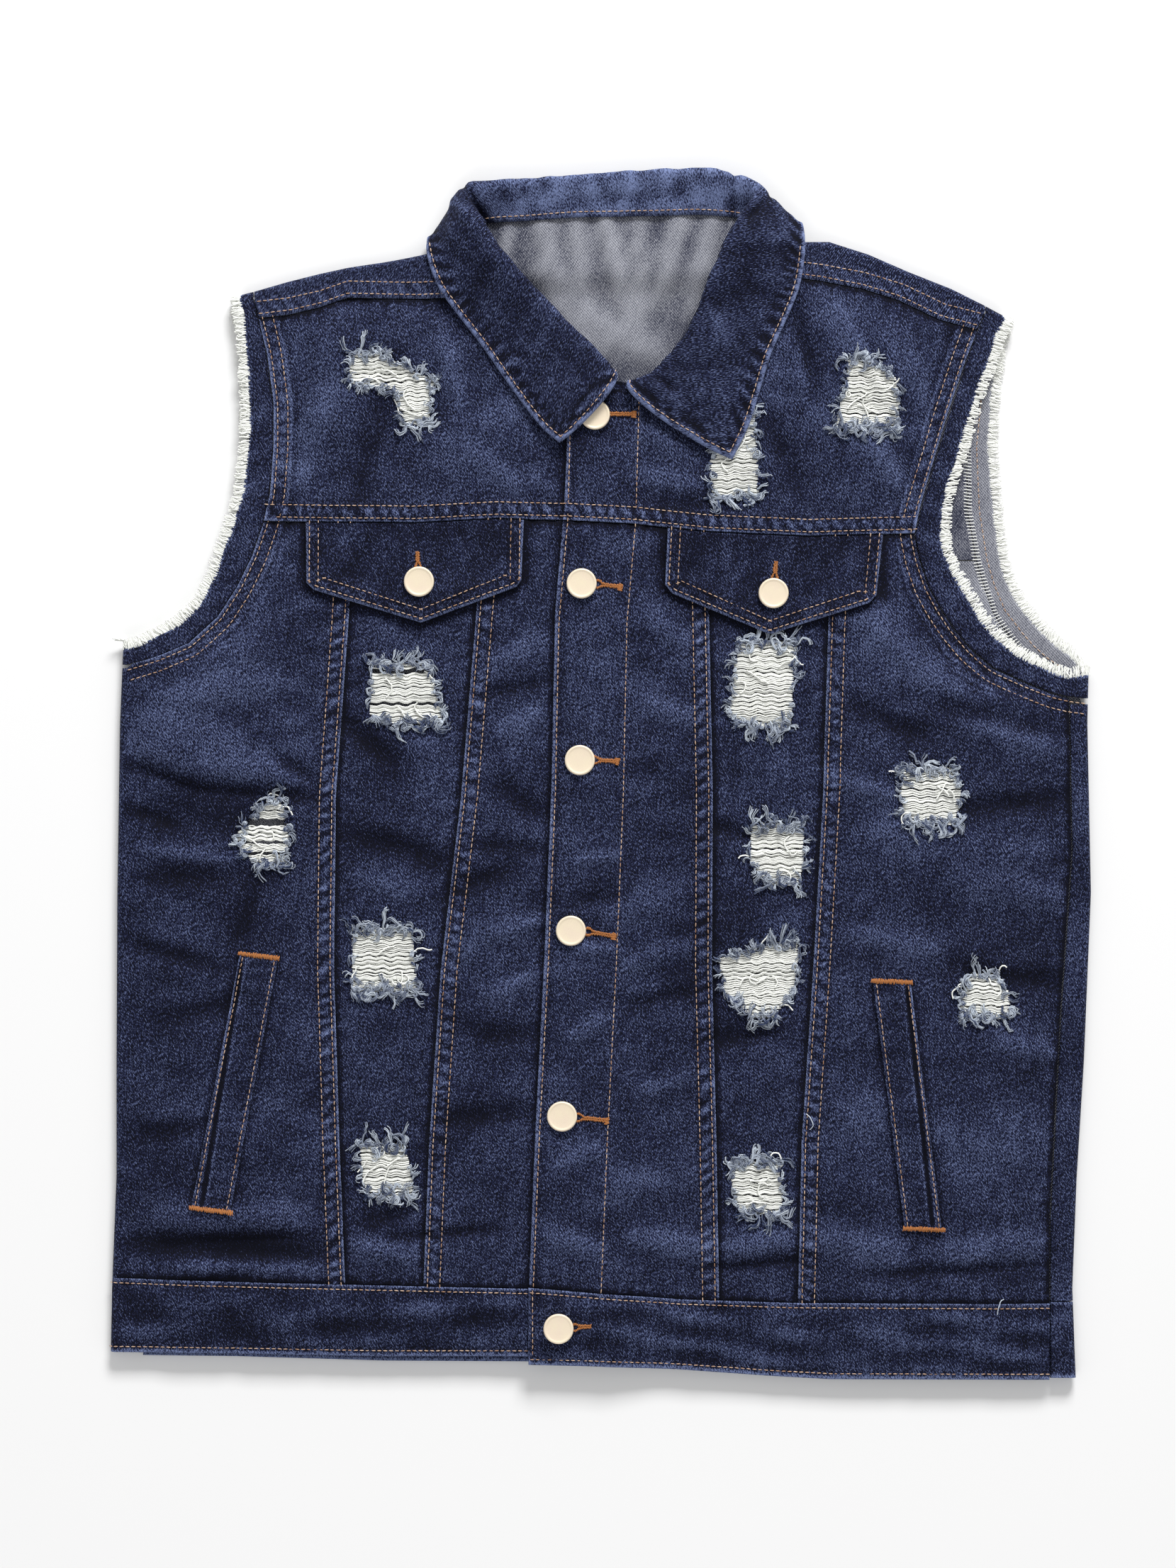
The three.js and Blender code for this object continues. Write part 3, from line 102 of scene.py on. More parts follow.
# The back: a wide body panel and a yoke of the same dark blue denim, which lie flat with their pale
# wrong side up. The yoke turns over the shoulders, and is felled to the front's yokes there.
# Lengths are in millimetres, as cut; SHIFT brings them to the middle of the outline.
SHIFT = (0.09, 0.9, 0)
CLOTH = 1.5
SEAM_GAP = 0.35
ARMHOLE_GAP = 0.55
EDGE_RADIUS = 3
HALF_TURN = math.pi * EDGE_RADIUS
TURNED_COLUMNS = 10
BAND_RISE = 0.7
UNDER_REACH = 13
UNDER_GAP = 1.2
UNDERARM_Y = 75
ARMHOLE_LEFT_Y = 60
ARMHOLE_RIGHT_Y = 41.5
BAND_Y = -292
BACK_SEAM_Y = 120
SIDES = np.array([
    (-345, -277.5, 268.5), (-292, -276.5, 266.5), (-228, -274, 269), (-164, -274, 273),
    (-68, -273.5, 277), (28, -272, 275), (75, -270, 276),
])
WAIST = np.array([
    (-290, -285, -286, -284), (-177, -288, -286, -286), (-43, -291, -290, -289),
    (5, -292, -294, -292), (46, -292, -297, -295), (107, -292, -299, -297),
    (290, -292, -300, -299),
])
HEM = np.array([
    (-290, -327, -334, -329), (-207, -328, -334, -330), (-123, -329.5, -334, -332.5),
    (-43, -329.5, -334, -333), (-3, -330, -335, -334), (45, -330, -337, -336),
    (93, -330, -340.5, -339), (129, -330, -342.5, -341), (290, -330, -343, -342),
])
SIDE_SEAM = np.array([
    (-345, 253.5), (-248, 253.5), (-136, 259.5), (-44, 266), (42.5, 264.5),
])
ARM_FRONT_LEFT = np.array([
    (60.5, -267, -267, 70), (65.5, -250.5, -259, 73), (73, -233, -241, 81.5),
    (88, -216.5, -226, 95), (105, -205.5, -218, 111.5), (122.5, -197, -211.5, 130),
    (141.5, -190.5, -207, 143), (157, -187, -202.5, 157), (184.5, -185, -199, 184.5),
    (208, -185, -198.5, 208), (235, -188.5, -200, 235), (256.5, -193.5, -202, 256),
])
ARM_FRONT_RIGHT = np.array([
    (41.5, 272.5, 272.5, 55), (42.5, 264.5, 265, 53.5), (45, 254, 255, 56.5), (51.5, 238, 243, 62),
    (59, 221.5, 231.5, 68.5), (69.5, 209, 221, 77.5), (81.5, 199, 212, 89.5),
    (93, 191.5, 205, 102), (105, 185, 198.5, 113), (120, 180, 193.5, 124),
    (134.5, 177, 192, 134.5), (147.5, 180, 192.5, 148), (161, 184, 196, 163),
    (177.5, 189, 201, 178), (198, 195, 206, 195), (216.5, 201, 212, 215), (232, 206, 217.5, 229),
    (250, 212.5, 223.5, 247),
])
ARM_BACK_LEFT = np.array([
    (60, -256, -262, 70), (65.5, -247, -255, 75), (74, -231, -240, 83), (89, -215, -225, 96),
    (105, -204.5, -216, 112), (120, -197, -210, 126), (148, -188, -203, 149),
    (184.5, -185, -199, 184.5), (220, -186.5, -199, 220), (248, -191, -201, 248),
    (266, -195.5, -205, 263.5),
])
ARM_BACK_RIGHT = np.array([
    (41.5, 271.8, 271.8, 58), (48, 264.5, 267, 64.5), (58, 249, 256, 73), (65.5, 240.5, 250, 78.5),
    (74, 233, 245, 84), (89, 222, 236, 95), (105, 216.5, 229, 108), (120, 212, 225.5, 121),
    (148, 207, 222, 148), (184.5, 206.5, 219, 184.5), (220, 211, 221, 217), (248, 215, 225, 242),
    (261, 217, 227.5, 255),
])
# Shoulders: seam x and y on the front, then fold x and y; a place at the neck has no seam
SHOULDERS = [
    (-193.5, 256.5, -196, 272), (-176, 258.5, -177, 277.5), (-158.5, 262.5, -159, 282),
    (-143, 268, -143, 285.5), (-123, 267.5, -123, 288.5), (-103, 267, -103, 292),
    (-78, 268, -88, 295), (-54, 269.5, -76, 299), (-40, 300, -66, 312), (-43, 300, -43, 313.5),
    (-17, 300, -17, 315.5), (9, 300, 9, 316), (33, 300, 33, 316.5), (57, 300, 57, 317),
    (70, 300, 80, 315), (82, 281, 97, 301), (103, 279.5, 111, 299.5), (125, 277, 129, 300),
    (147, 273, 151, 293), (168, 266.5, 174, 283), (191, 255.5, 198, 273.5), (212.5, 250, 217, 264),
]
# Soft folds of the front: from x, y to x, y, then width and rise
FOLDS = [
    (-262, 12, -165, -6, 12, 4.2), (-255, -22, -170, -30, 12, -2.6),
    (-106, 258, -118, 205, 9, 2.6), (-150, 250, -160, 190, 11, 2), (120, 262, 145, 200, 10, 2.8),
    (160, 250, 172, 190, 9, 2.2), (95, 250, 100, 190, 11, 1.8), (0, -80, 56, -66, 10, 2.2),
    (-84, -100, -45, -84, 10, 2), (150, -30, 245, -50, 13, 2.6), (140, 95, 205, 40, 11, 2.4),
    (-200, 80, -225, 30, 12, 2), (-40, 205, -100, 178, 13, 1.6), (130, -190, 250, -215, 15, 1.8),
    (-255, -190, -180, -210, 14, 1.6), (-5, -235, 60, -228, 12, 1.7),
]
# Creases of the back's wrong side, which hang from the neck seam and the yoke seam
BACK_CREASES = [
    (-52, 312, -60, 262, 5, 1.6), (-34, 312, -22, 268, 6, 1.5), (-14, 314, -10, 250, 6, 1.3),
    (2, 315, 14, 262, 5, 1.7), (22, 315, 20, 240, 7, 1.4), (44, 315, 34, 268, 6, 1.7),
    (64, 314, 50, 262, 6, 1.5), (-20, 262, 34, 236, 9, 1.2), (-40, 288, 2, 232, 8, 1.1),
    (225, 120, 235, 150, 5, 1.1), (215, 180, 222, 150, 5, 1.0),
]

FRONT_OUTLINE_LEFT = np.array([(y, left) for y, left, right in SIDES if y < 60]
                              + [(row[0], row[1]) for row in ARM_FRONT_LEFT])
FRONT_OUTLINE_RIGHT = np.array([(y, right) for y, left, right in SIDES if y < 40]
                               + [(row[0], row[1]) for row in ARM_FRONT_RIGHT])
FOLD_LINE = np.array([(row[2], row[3]) for row in SHOULDERS])


def read(table, column, at):
    return np.interp(at, table[:, 0], table[:, column])


def ease(share):
    share = np.clip(share, 0, 1)
    return share * share * (3 - 2 * share)


def peak(at, middle, width):
    return np.exp(-((at - middle) / width) ** 2)


def inland(x, y, run):
    from_left = (x - EDGE_RADIUS - read(FRONT_OUTLINE_LEFT, 1, y)) / run
    from_right = (read(FRONT_OUTLINE_RIGHT, 1, y) - EDGE_RADIUS - x) / run
    from_top = (read(FOLD_LINE, 1, x) - 4 - y) / run
    from_hem = (y - read(HEM, 3, x) + 8) / run
    return ease(from_left) * ease(from_right) * ease(from_top) * ease(from_hem)


def over_collar(x):
    return 3.2 * (1 - ease((np.abs(x - 9) - 104) / 22))


def creased(x, y, creases):
    total = np.zeros_like(np.asarray(x, float) + y)
    for from_x, from_y, to_x, to_y, width, rise in creases:
        along_x, along_y = to_x - from_x, to_y - from_y
        share = ((x - from_x) * along_x + (y - from_y) * along_y) / (along_x ** 2 + along_y ** 2)
        off = np.hypot(x - from_x - share * along_x, y - from_y - share * along_y)
        ends = ease((share + 0.25) / 0.5) * ease((1.25 - share) / 0.5)
        total += rise * ends * peak(off, 0, width)
    return total


def ruffle(x, y, size, seed):
    chance = np.random.default_rng(seed)
    total = 0
    for _ in range(7):
        angle, phase = chance.uniform(0, math.pi), chance.uniform(0, 2 * math.pi)
        pitch = 2 * math.pi / size * chance.uniform(0.65, 1.5)
        total = total + np.sin((x * math.cos(angle) + y * math.sin(angle)) * pitch + phase)
    return total / math.sqrt(7)


def rounded(inset, radius=0.7):
    short = radius - np.clip(inset, 0, radius)
    return radius - np.sqrt(radius ** 2 - short ** 2)


def unit_group(name, inputs, outputs):
    tree = bpy.data.node_groups.new(name, "ShaderNodeTree")
    for label, kind in inputs:
        tree.interface.new_socket(name=label, in_out="INPUT", socket_type="NodeSocket" + kind)
    for label, kind in outputs:
        tree.interface.new_socket(name=label, in_out="OUTPUT", socket_type="NodeSocket" + kind)
    return tree, tree.nodes.new("NodeGroupInput"), tree.nodes.new("NodeGroupOutput")


def node(tree, kind, inputs=(), **settings):
    made = tree.nodes.new(kind)
    for key, value in settings.items():
        setattr(made, key, value)
    for key, value in dict(inputs).items():
        if isinstance(value, bpy.types.NodeSocket):
            tree.links.new(value, made.inputs[key])
        else:
            made.inputs[key].default_value = value
    return made


def maths(tree, operation, first, second=0.0, third=0.0):
    return node(tree, "ShaderNodeMath", {0: first, 1: second, 2: third}, operation=operation).outputs[0]


def blend(tree, share, first, second):
    return node(tree, "ShaderNodeMix", {"Factor": share, 6: first, 7: second}, data_type="RGBA").outputs[2]


def from_to(tree, value, low, high, to_low=0.0, to_high=1.0):
    limits = {"Value": value, "From Min": low, "From Max": high, "To Min": to_low, "To Max": to_high}
    return node(tree, "ShaderNodeMapRange", limits).outputs[0]


# Twill denim: steep diagonal ridges of warp, with uneven yarn, slubs and patchy dye. A per-point attribute
# makes the cloth paler where it is high and darker where it is low: rubbed to its pale core where the cloth
# is abraded, and painted light and painted shade where it follows folds, seams, stitch rows and parts that
# lie over the cloth.
RIDGE_PITCH = 0.8
SLUB_CONTRAST = 0.3
MOTTLE_CONTRAST = 0.32
REST_TONE = 0.335
WEAR_AND_SHADE_CONTRAST = 0.75
weave, weave_in, weave_out = unit_group(
    "twill_denim",
    [("Cloth", "Vector"), ("Wear and Shade", "Float"), ("Deep", "Color"), ("Middle", "Color"), ("Pale", "Color"),
     ("Slant", "Float"), ("Ridge Contrast", "Float"), ("Fleck Contrast", "Float"),
     ("Patch Contrast", "Float")],
    [("Color", "Color"), ("Roughness", "Float"), ("Height", "Float")])


def weave_noise(place, scale, detail, roughness=0.5):
    inputs = {"Vector": place, "Scale": scale, "Detail": detail, "Roughness": roughness}
    return node(weave, "ShaderNodeTexNoise", inputs, noise_dimensions="2D").outputs["Fac"]


def stretched(place, scale):
    return node(weave, "ShaderNodeMapping", {"Vector": place, "Scale": scale}).outputs[0]


def swing(value, strength, rest=0.0):
    return maths(weave, "MULTIPLY_ADD", maths(weave, "SUBTRACT", value, 0.5), strength, rest)


flat_cloth = weave_in.outputs["Cloth"]
turned = node(weave, "ShaderNodeCombineXYZ", {2: weave_in.outputs["Slant"]})
slanted = node(weave, "ShaderNodeVectorRotate", {"Vector": flat_cloth, "Rotation": turned.outputs[0]},
               rotation_type="EULER_XYZ").outputs[0]
yarn = weave_noise(stretched(slanted, (640, 1400, 1)), 1, 2.5, 0.65)
ridge = node(weave, "ShaderNodeTexWave",
             {"Vector": stretched(slanted, (60, 1000 / RIDGE_PITCH, 1)), "Scale": 0.3183, "Distortion": 1.5,
              "Detail": 2, "Detail Scale": 1.2}, bands_direction="Y").outputs["Fac"]
slub = weave_noise(stretched(flat_cloth, (1100, 95, 1)), 1, 2)
mottle = weave_noise(flat_cloth, 150, 3, 0.6)
patch = weave_noise(flat_cloth, 16, 3, 0.55)
grain = swing(yarn, weave_in.outputs["Fleck Contrast"],
              swing(ridge, weave_in.outputs["Ridge Contrast"], swing(slub, SLUB_CONTRAST)))
broad = swing(patch, weave_in.outputs["Patch Contrast"], swing(mottle, MOTTLE_CONTRAST))
tone = maths(weave, "ADD", maths(weave, "ADD", grain, broad), REST_TONE)
worn_and_shaded_tone = maths(weave, "MULTIPLY_ADD", weave_in.outputs["Wear and Shade"], WEAR_AND_SHADE_CONTRAST, tone)
dark_half = blend(weave, from_to(weave, worn_and_shaded_tone, 0.0, 0.5), weave_in.outputs["Deep"],
                  weave_in.outputs["Middle"])
dyed_tone = blend(weave, from_to(weave, worn_and_shaded_tone, 0.5, 1.25), dark_half, weave_in.outputs["Pale"])
weave.links.new(dyed_tone, weave_out.inputs["Color"])
weave.links.new(from_to(weave, worn_and_shaded_tone, 0.0, 1.0, 0.82, 0.95), weave_out.inputs["Roughness"])
relief = maths(weave, "MULTIPLY_ADD", ridge, 0.45,
               maths(weave, "MULTIPLY_ADD", yarn, 0.55, maths(weave, "MULTIPLY", slub, 0.35)))
weave.links.new(relief, weave_out.inputs["Height"])


def denim_finish(name, deep, middle, pale, slant, ridged, fleck, patchy, bump=0.35):
    finish = plain_finish(name, middle, 0.9)
    tree = finish.node_tree
    shader = tree.nodes["Principled BSDF"]
    cloth = node(tree, "ShaderNodeUVMap", uv_map="cloth")
    wear_and_shade = node(tree, "ShaderNodeAttribute", attribute_name="wear_and_shade")
    group = node(tree, "ShaderNodeGroup")
    group.node_tree = weave
    tree.links.new(cloth.outputs[0], group.inputs["Cloth"])
    tree.links.new(wear_and_shade.outputs["Fac"], group.inputs["Wear and Shade"])
    for key, value in (("Deep", deep), ("Middle", middle), ("Pale", pale), ("Slant", slant),
                       ("Ridge Contrast", ridged), ("Fleck Contrast", fleck), ("Patch Contrast", patchy)):
        group.inputs[key].default_value = value
    bumped = node(tree, "ShaderNodeBump", {"Height": group.outputs["Height"], "Strength": bump,
                                           "Distance": 0.0004})
    tree.links.new(group.outputs["Color"], shader.inputs["Base Color"])
    tree.links.new(group.outputs["Roughness"], shader.inputs["Roughness"])
    tree.links.new(bumped.outputs[0], shader.inputs["Normal"])
    shader.inputs["Specular IOR Level"].default_value = 0.15
    shader.inputs["Sheen Weight"].default_value = 0.03
    shader.inputs["Sheen Roughness"].default_value = 0.5
    return finish


TWILL_SLANT = math.radians(-118)
denim_face = denim_finish("indigo_denim", srgb(2, 3, 18), srgb(27, 32, 63), srgb(115, 128, 168),
                          TWILL_SLANT, 0.5, 3.0, 0.2)
denim_back = denim_finish("denim_wrong_side", srgb(30, 33, 50), srgb(105, 108, 128), srgb(208, 210, 218),
                          -TWILL_SLANT, 2.3, 2.0, 0.5, 0.5)
DOUBLED = (denim_face, denim_face)


def cloth_shell(name, outer, inner, across, along, wear_and_shade, keep=None, finishes=(denim_face, denim_back)):
    """A sheet with a wall: its two faces, and a rim wherever the kept cells end."""
    rows, columns = outer.shape[:2]
    count = rows * columns
    points = np.concatenate([outer.reshape(-1, 3), inner.reshape(-1, 3)])
    keep = np.ones((rows - 1, columns - 1), bool) if keep is None else keep
    index = np.arange(count).reshape(rows, columns)
    corners = (index[:-1, :-1], index[:-1, 1:], index[1:, 1:], index[1:, :-1])
    quads = np.stack([corner[keep] for corner in corners], 1)
    under = quads[:, ::-1] + count
    edges = np.concatenate([quads[:, [k, (k + 1) % 4]] for k in range(4)])
    shared = np.isin(edges[:, 0] * count + edges[:, 1], edges[:, 1] * count + edges[:, 0])
    first, second = edges[~shared].T
    rim = np.stack([second, first, first + count, second + count], 1)
    faces = np.concatenate([quads, under, rim])
    corner = points[faces]
    if sum((corner[:, 0] * np.cross(corner[:, k], corner[:, k + 1])).sum() for k in (1, 2)) < 0:
        faces = faces[:, ::-1]
    used, compact = np.unique(faces, return_inverse=True)
    faces = compact.reshape(faces.shape)
    piece = mesh_piece(name, ((points[used] + SHIFT) / 1000).tolist(), faces.tolist(), finishes)
    mesh = piece.data
    sides = np.repeat([0, 1, 0], [len(quads), len(under), len(rim)]).astype(np.int32)
    mesh.polygons.foreach_set("material_index", sides)
    mesh.polygons.foreach_set("use_smooth", np.ones(len(faces), bool))
    flat = np.stack([across.ravel(), along.ravel()], 1) / 1000
    flat = np.concatenate([flat, flat])[used]
    mesh.uv_layers.new(name="cloth").data.foreach_set("uv", flat[faces.ravel()].ravel().astype(np.float32))
    # Per-point paleness from abrasion, painted light and painted shade, read by the denim's shader
    worn_and_shaded = np.concatenate([np.broadcast_to(wear_and_shade, (rows, columns)).ravel()] * 2)[used]
    mesh.attributes.new("wear_and_shade", "FLOAT", "POINT").data.foreach_set("value", worn_and_shaded.astype(np.float32))
    spans = corner[:len(quads), 1:] - corner[:len(quads), :1]
    areas = [np.linalg.norm(np.cross(spans[:, k], spans[:, k + 1]), axis=1).sum() for k in (0, 1)]
    piece["laid_area"] = float(0.5e-6 * sum(areas))
    piece["cut_width"], piece["cut_length"] = (float(v) for v in np.ptp(flat, axis=0))
    return piece


def lay_as_cloth(piece, node_name):
    """Hangs a sheet on the root and hides the part that it stands for. The sheet's size is set where it is
    built; its area is that of the laid face itself, not of a cut found apart.
    """
    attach(piece, "root")
    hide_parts(node_name)


def front_height(x, y):
    base = 2 * EDGE_RADIUS + over_collar(x) * ease((y - 262) / 20)
    return base + 4.5 * inland(x, y, 45) + creased(x, y, FOLDS) * inland(x, y, 14)


def back_lift(x, y):
    return over_collar(x) * ease((y - 268) / 16)


def back_relief(x, y):
    return 0.4 + 0.25 * ruffle(x, y, 42, 21) + np.clip(1.3 * creased(x, y, BACK_CREASES), 0, 2.4)


INSETS = np.array([0, 0.25, 0.6, 1.1, 1.8, 2.8, 4.2, 6, 8, 9.4, 10, 10.6, 11.6])


def spread(start, end, step):
    start, end = np.atleast_1d(start)[:, None], np.atleast_1d(end)[:, None]
    room = end - start - 26
    middle = start + 13 + room * np.linspace(0, 1, max(2, round(float(room.max()) / step)) + 1)
    return np.hstack([start + INSETS, middle, end - INSETS[::-1]])


def lay_cloth(x, y, up, lift=0.0):
    """Plan points on the flat front, and past its side edges round and under it."""
    left = read(SIDES, 1, y) + EDGE_RADIUS
    right = read(SIDES, 2, y) - EDGE_RADIUS
    past = np.where(y > UNDERARM_Y, 0, np.maximum(left - x, x - right))
    side = np.where(x < left, -1, 1)
    start = np.where(side < 0, left, right)
    angle = np.clip(past / EDGE_RADIUS, 0, math.pi)
    reach = EDGE_RADIUS + up
    flat = past <= 0.001
    under = past > HALF_TURN
    new_x = np.where(flat, x, np.where(under, start - side * (past - HALF_TURN),
                                       start + side * reach * np.sin(angle)))
    new_z = np.where(flat, front_height(x, y) + lift + up,
                     np.where(under, np.maximum(-up, 0), EDGE_RADIUS + reach * np.cos(angle)))
    return np.stack(np.broadcast_arrays(new_x, y, new_z), -1)


def round_right_edge(seam, edge, steps):
    """Across from the side seam on the front to the edge, and on round it."""
    return np.concatenate([np.linspace(seam, edge, 4)[:3],
                           edge + np.linspace(0, 0.75, steps) * math.pi * EDGE_RADIUS])


# Back body panel: flat from the left side, round the right edge, and up to the side seam on the front
rows = spread(BAND_Y, BACK_SEAM_Y, 4)[0]
panel_rows = []
for nominal in rows:
    right = read(SIDES, 2, nominal) - EDGE_RADIUS
    left = read(SIDES, 1, nominal) + EDGE_RADIUS + UNDER_REACH + UNDER_GAP
    if nominal > ARMHOLE_LEFT_Y:
        left = read(ARM_BACK_LEFT, 1, nominal)
    if nominal > ARMHOLE_RIGHT_Y:
        right = read(ARM_BACK_RIGHT, 1, nominal)
        turned_part = np.full(TURNED_COLUMNS, right)
    else:
        turned_part = round_right_edge(float(read(SIDE_SEAM, 1, nominal)) + SEAM_GAP, right, 7)
    panel_rows.append(np.concatenate([turned_part, np.linspace(right, left, 100)]))
x = np.array(panel_rows)
y = np.repeat(rows[:, None], x.shape[1], 1)
lean = np.clip(1 - (y - BAND_Y) / 310, 0, None)
y = y + lean * (read(WAIST, 3, x) + SEAM_GAP - BAND_Y)
y[rows > BACK_SEAM_Y - 0.1] -= SEAM_GAP
flat_part = np.broadcast_to(np.arange(x.shape[1]) >= TURNED_COLUMNS, x.shape)
ripple = np.where(flat_part, np.clip(back_relief(x, y), 0, 1.6), 0)
ripple = ripple * ease((read(SIDES, 2, y) - 14 - x) / 20) * ease((x - read(SIDES, 1, y) - 30) / 20)
outer = np.where(flat_part[..., None], np.stack([x, y, ripple], -1), lay_cloth(x, y, 0.0))
inner = np.where(flat_part[..., None], np.stack([x, y, ripple + CLOTH], -1), lay_cloth(x, y, -CLOTH))
keep = np.ones((x.shape[0] - 1, x.shape[1] - 1), bool)
keep[rows[1:] > ARMHOLE_RIGHT_Y + 0.1, :TURNED_COLUMNS] = False
wear_and_shade = 0.12 * ruffle(x, y, 70, 22)
back_panel = cloth_shell("vest_back_panel", outer, inner, x, y, wear_and_shade, keep)
lay_as_cloth(back_panel, "back_panel")

# Back yoke: flat up to the shoulder folds, then over them and down to the shoulder seams
def along_shoulders(stations):
    table = np.array(SHOULDERS)
    return (np.interp(stations, np.arange(len(table)), table[:, k]) for k in range(4))


def across_yoke(y_row):
    return read(ARM_BACK_LEFT, 1, y_row) * (1 - across_share) + read(ARM_BACK_RIGHT, 1, y_row) * across_share


SHOULDER_Y = 248
YOKE_FLAT = SHOULDER_Y - BACK_SEAM_Y
YOKE_BAND = 9.8
stations = np.linspace(0, len(SHOULDERS) - 1, 190)
seam_x, seam_y, fold_x, fold_y = along_shoulders(stations)
at_neck = (stations > 7.001) & (stations < 14.999)
neck_line = (stations > 7.5) & (stations < 14.5)
top = fold_y - np.where(neck_line, 0, EDGE_RADIUS)
across_share = (fold_x - fold_x[0]) / (fold_x[-1] - fold_x[0])
seam_shares = (BACK_SEAM_Y + SEAM_GAP + INSETS - SHOULDER_Y) / YOKE_FLAT + 1
flat_shares = np.concatenate([seam_shares, np.linspace(0.12, 1, 44)])
y_rows = [np.full(len(stations), BACK_SEAM_Y + share * YOKE_FLAT) for share in flat_shares]
x_rows = [across_yoke(y_row) for y_row in y_rows]
for climb in np.linspace(0.05, 1, 22):
    y_rows.append(SHOULDER_Y + climb * (top - SHOULDER_Y))
    x_row = across_yoke(y_rows[-1])
    x_rows.append(x_row + ease(climb) * (fold_x - x_row))
x, y = np.array(x_rows), np.array(y_rows)
lift = back_lift(x, y)
calm = np.where(at_neck[None, :], 1, ease((top[None, :] - y) / 14))
ripple = np.clip(back_relief(x, y), 0, 2.2) * calm
flat_outer = np.stack([x, y, lift + ripple], -1)
flat_inner = np.stack([x, y, lift + ripple + CLOTH], -1)
# The back's creases painted paler on their crests and darker in their hollows, and a patch of painted shade
# near the neck left of the middle; over random tone and an even darkening
flat_wear_and_shade = 0.1 * ruffle(x, y, 60, 41) + 0.6 * (ripple - 1.0) + 0.14 * ruffle(x, 0.6 * y, 13, 42) \
    - 0.3 * np.exp(-((x + 50) / 45) ** 2 - ((y - 285) / 40) ** 2) - 0.28
under = back_lift(fold_x, top)
radius = (front_height(fold_x, top) - under) / 2
turn_outer, turn_inner, turn_along, turn_across, turn_wear = [], [], [], [], []
for angle in np.linspace(0.1, 1, 9) * math.pi:
    for wall, store in ((0.0, turn_outer), (CLOTH, turn_inner)):
        reach = radius - wall
        store.append(np.stack([fold_x, top + EDGE_RADIUS / radius * reach * math.sin(angle),
                               under + radius - reach * math.cos(angle)], -1))
    turn_along.append(top + angle * EDGE_RADIUS)
    turn_across.append(fold_x)
    turn_wear.append(0.25 * np.sin(angle) * (0.6 + 0.4 * ruffle(fold_x, angle * 9, 14, 31)))
run = np.hypot(seam_x - fold_x, seam_y + SEAM_GAP - top)
for share in np.linspace(0.06, 1, 18):
    x_row = fold_x + share * (seam_x - fold_x)
    y_row = top + share * (seam_y + SEAM_GAP - top)
    inset = (1 - share) * run
    band = ease((YOKE_BAND + 0.8 - inset) / 1.4)
    rope = np.sin(2 * math.pi * x_row / 8.3 + 0.5 * inset + 1.4 * ruffle(x_row, y_row, 40, 33)) * band
    height = front_height(x_row, y_row) + BAND_RISE * band + 0.2 * rope
    turn_outer.append(np.stack([x_row, y_row, height - rounded(inset)], -1))
    turn_inner.append(np.stack([x_row, y_row, front_height(x_row, y_row) - CLOTH], -1))
    turn_along.append(top + HALF_TURN + share * run)
    turn_across.append(x_row)
    turn_wear.append(0.22 * rope + 0.55 * np.exp(-inset / 0.9) + 0.1 * band)
outer, inner, across, along, wear_and_shade = (np.concatenate([flat, np.array(turn)]) for flat, turn in (
    (flat_outer, turn_outer), (flat_inner, turn_inner), (x, turn_across), (y, turn_along),
    (flat_wear_and_shade, turn_wear)))
keep = np.ones((outer.shape[0] - 1, outer.shape[1] - 1), bool)
keep[len(flat_shares) + 21:, :] = ~(at_neck[1:] | at_neck[:-1])
back_yoke = cloth_shell("vest_back_yoke", outer, inner, across, along, wear_and_shade, keep)
lay_as_cloth(back_yoke, "back_yoke")

# The front below its yokes: three panels on each side, felled to each other with the raised band on
# the panel that laps over. The right half's placket lies on the left half's button band.
YOKE_SEAM = np.array([
    (-195, 142), (-152, 141), (-105, 140.5), (-59, 143), (-20, 142), (18, 140), (61, 135.5),
    (118, 133), (180, 135),
])
# Down seams by y: side left, centre left, placket edge, centre right, side right
DOWN_SEAMS = np.array([
    (-345, -144, -100.5, -40, 67, 111), (-292, -144, -100.5, -40.5, 66.5, 111),
    (-206, -147.5, -97, -37, 65, 113), (-109, -150.5, -90.5, -32, 62.5, 119.5),
    (-12, -149.5, -79, -28, 63, 125), (84, -142.5, -71, -26, 61, 128),
    (142, -139, -66, -21, 60, 130), (216, -139, -66, -19, 60, 130),
])
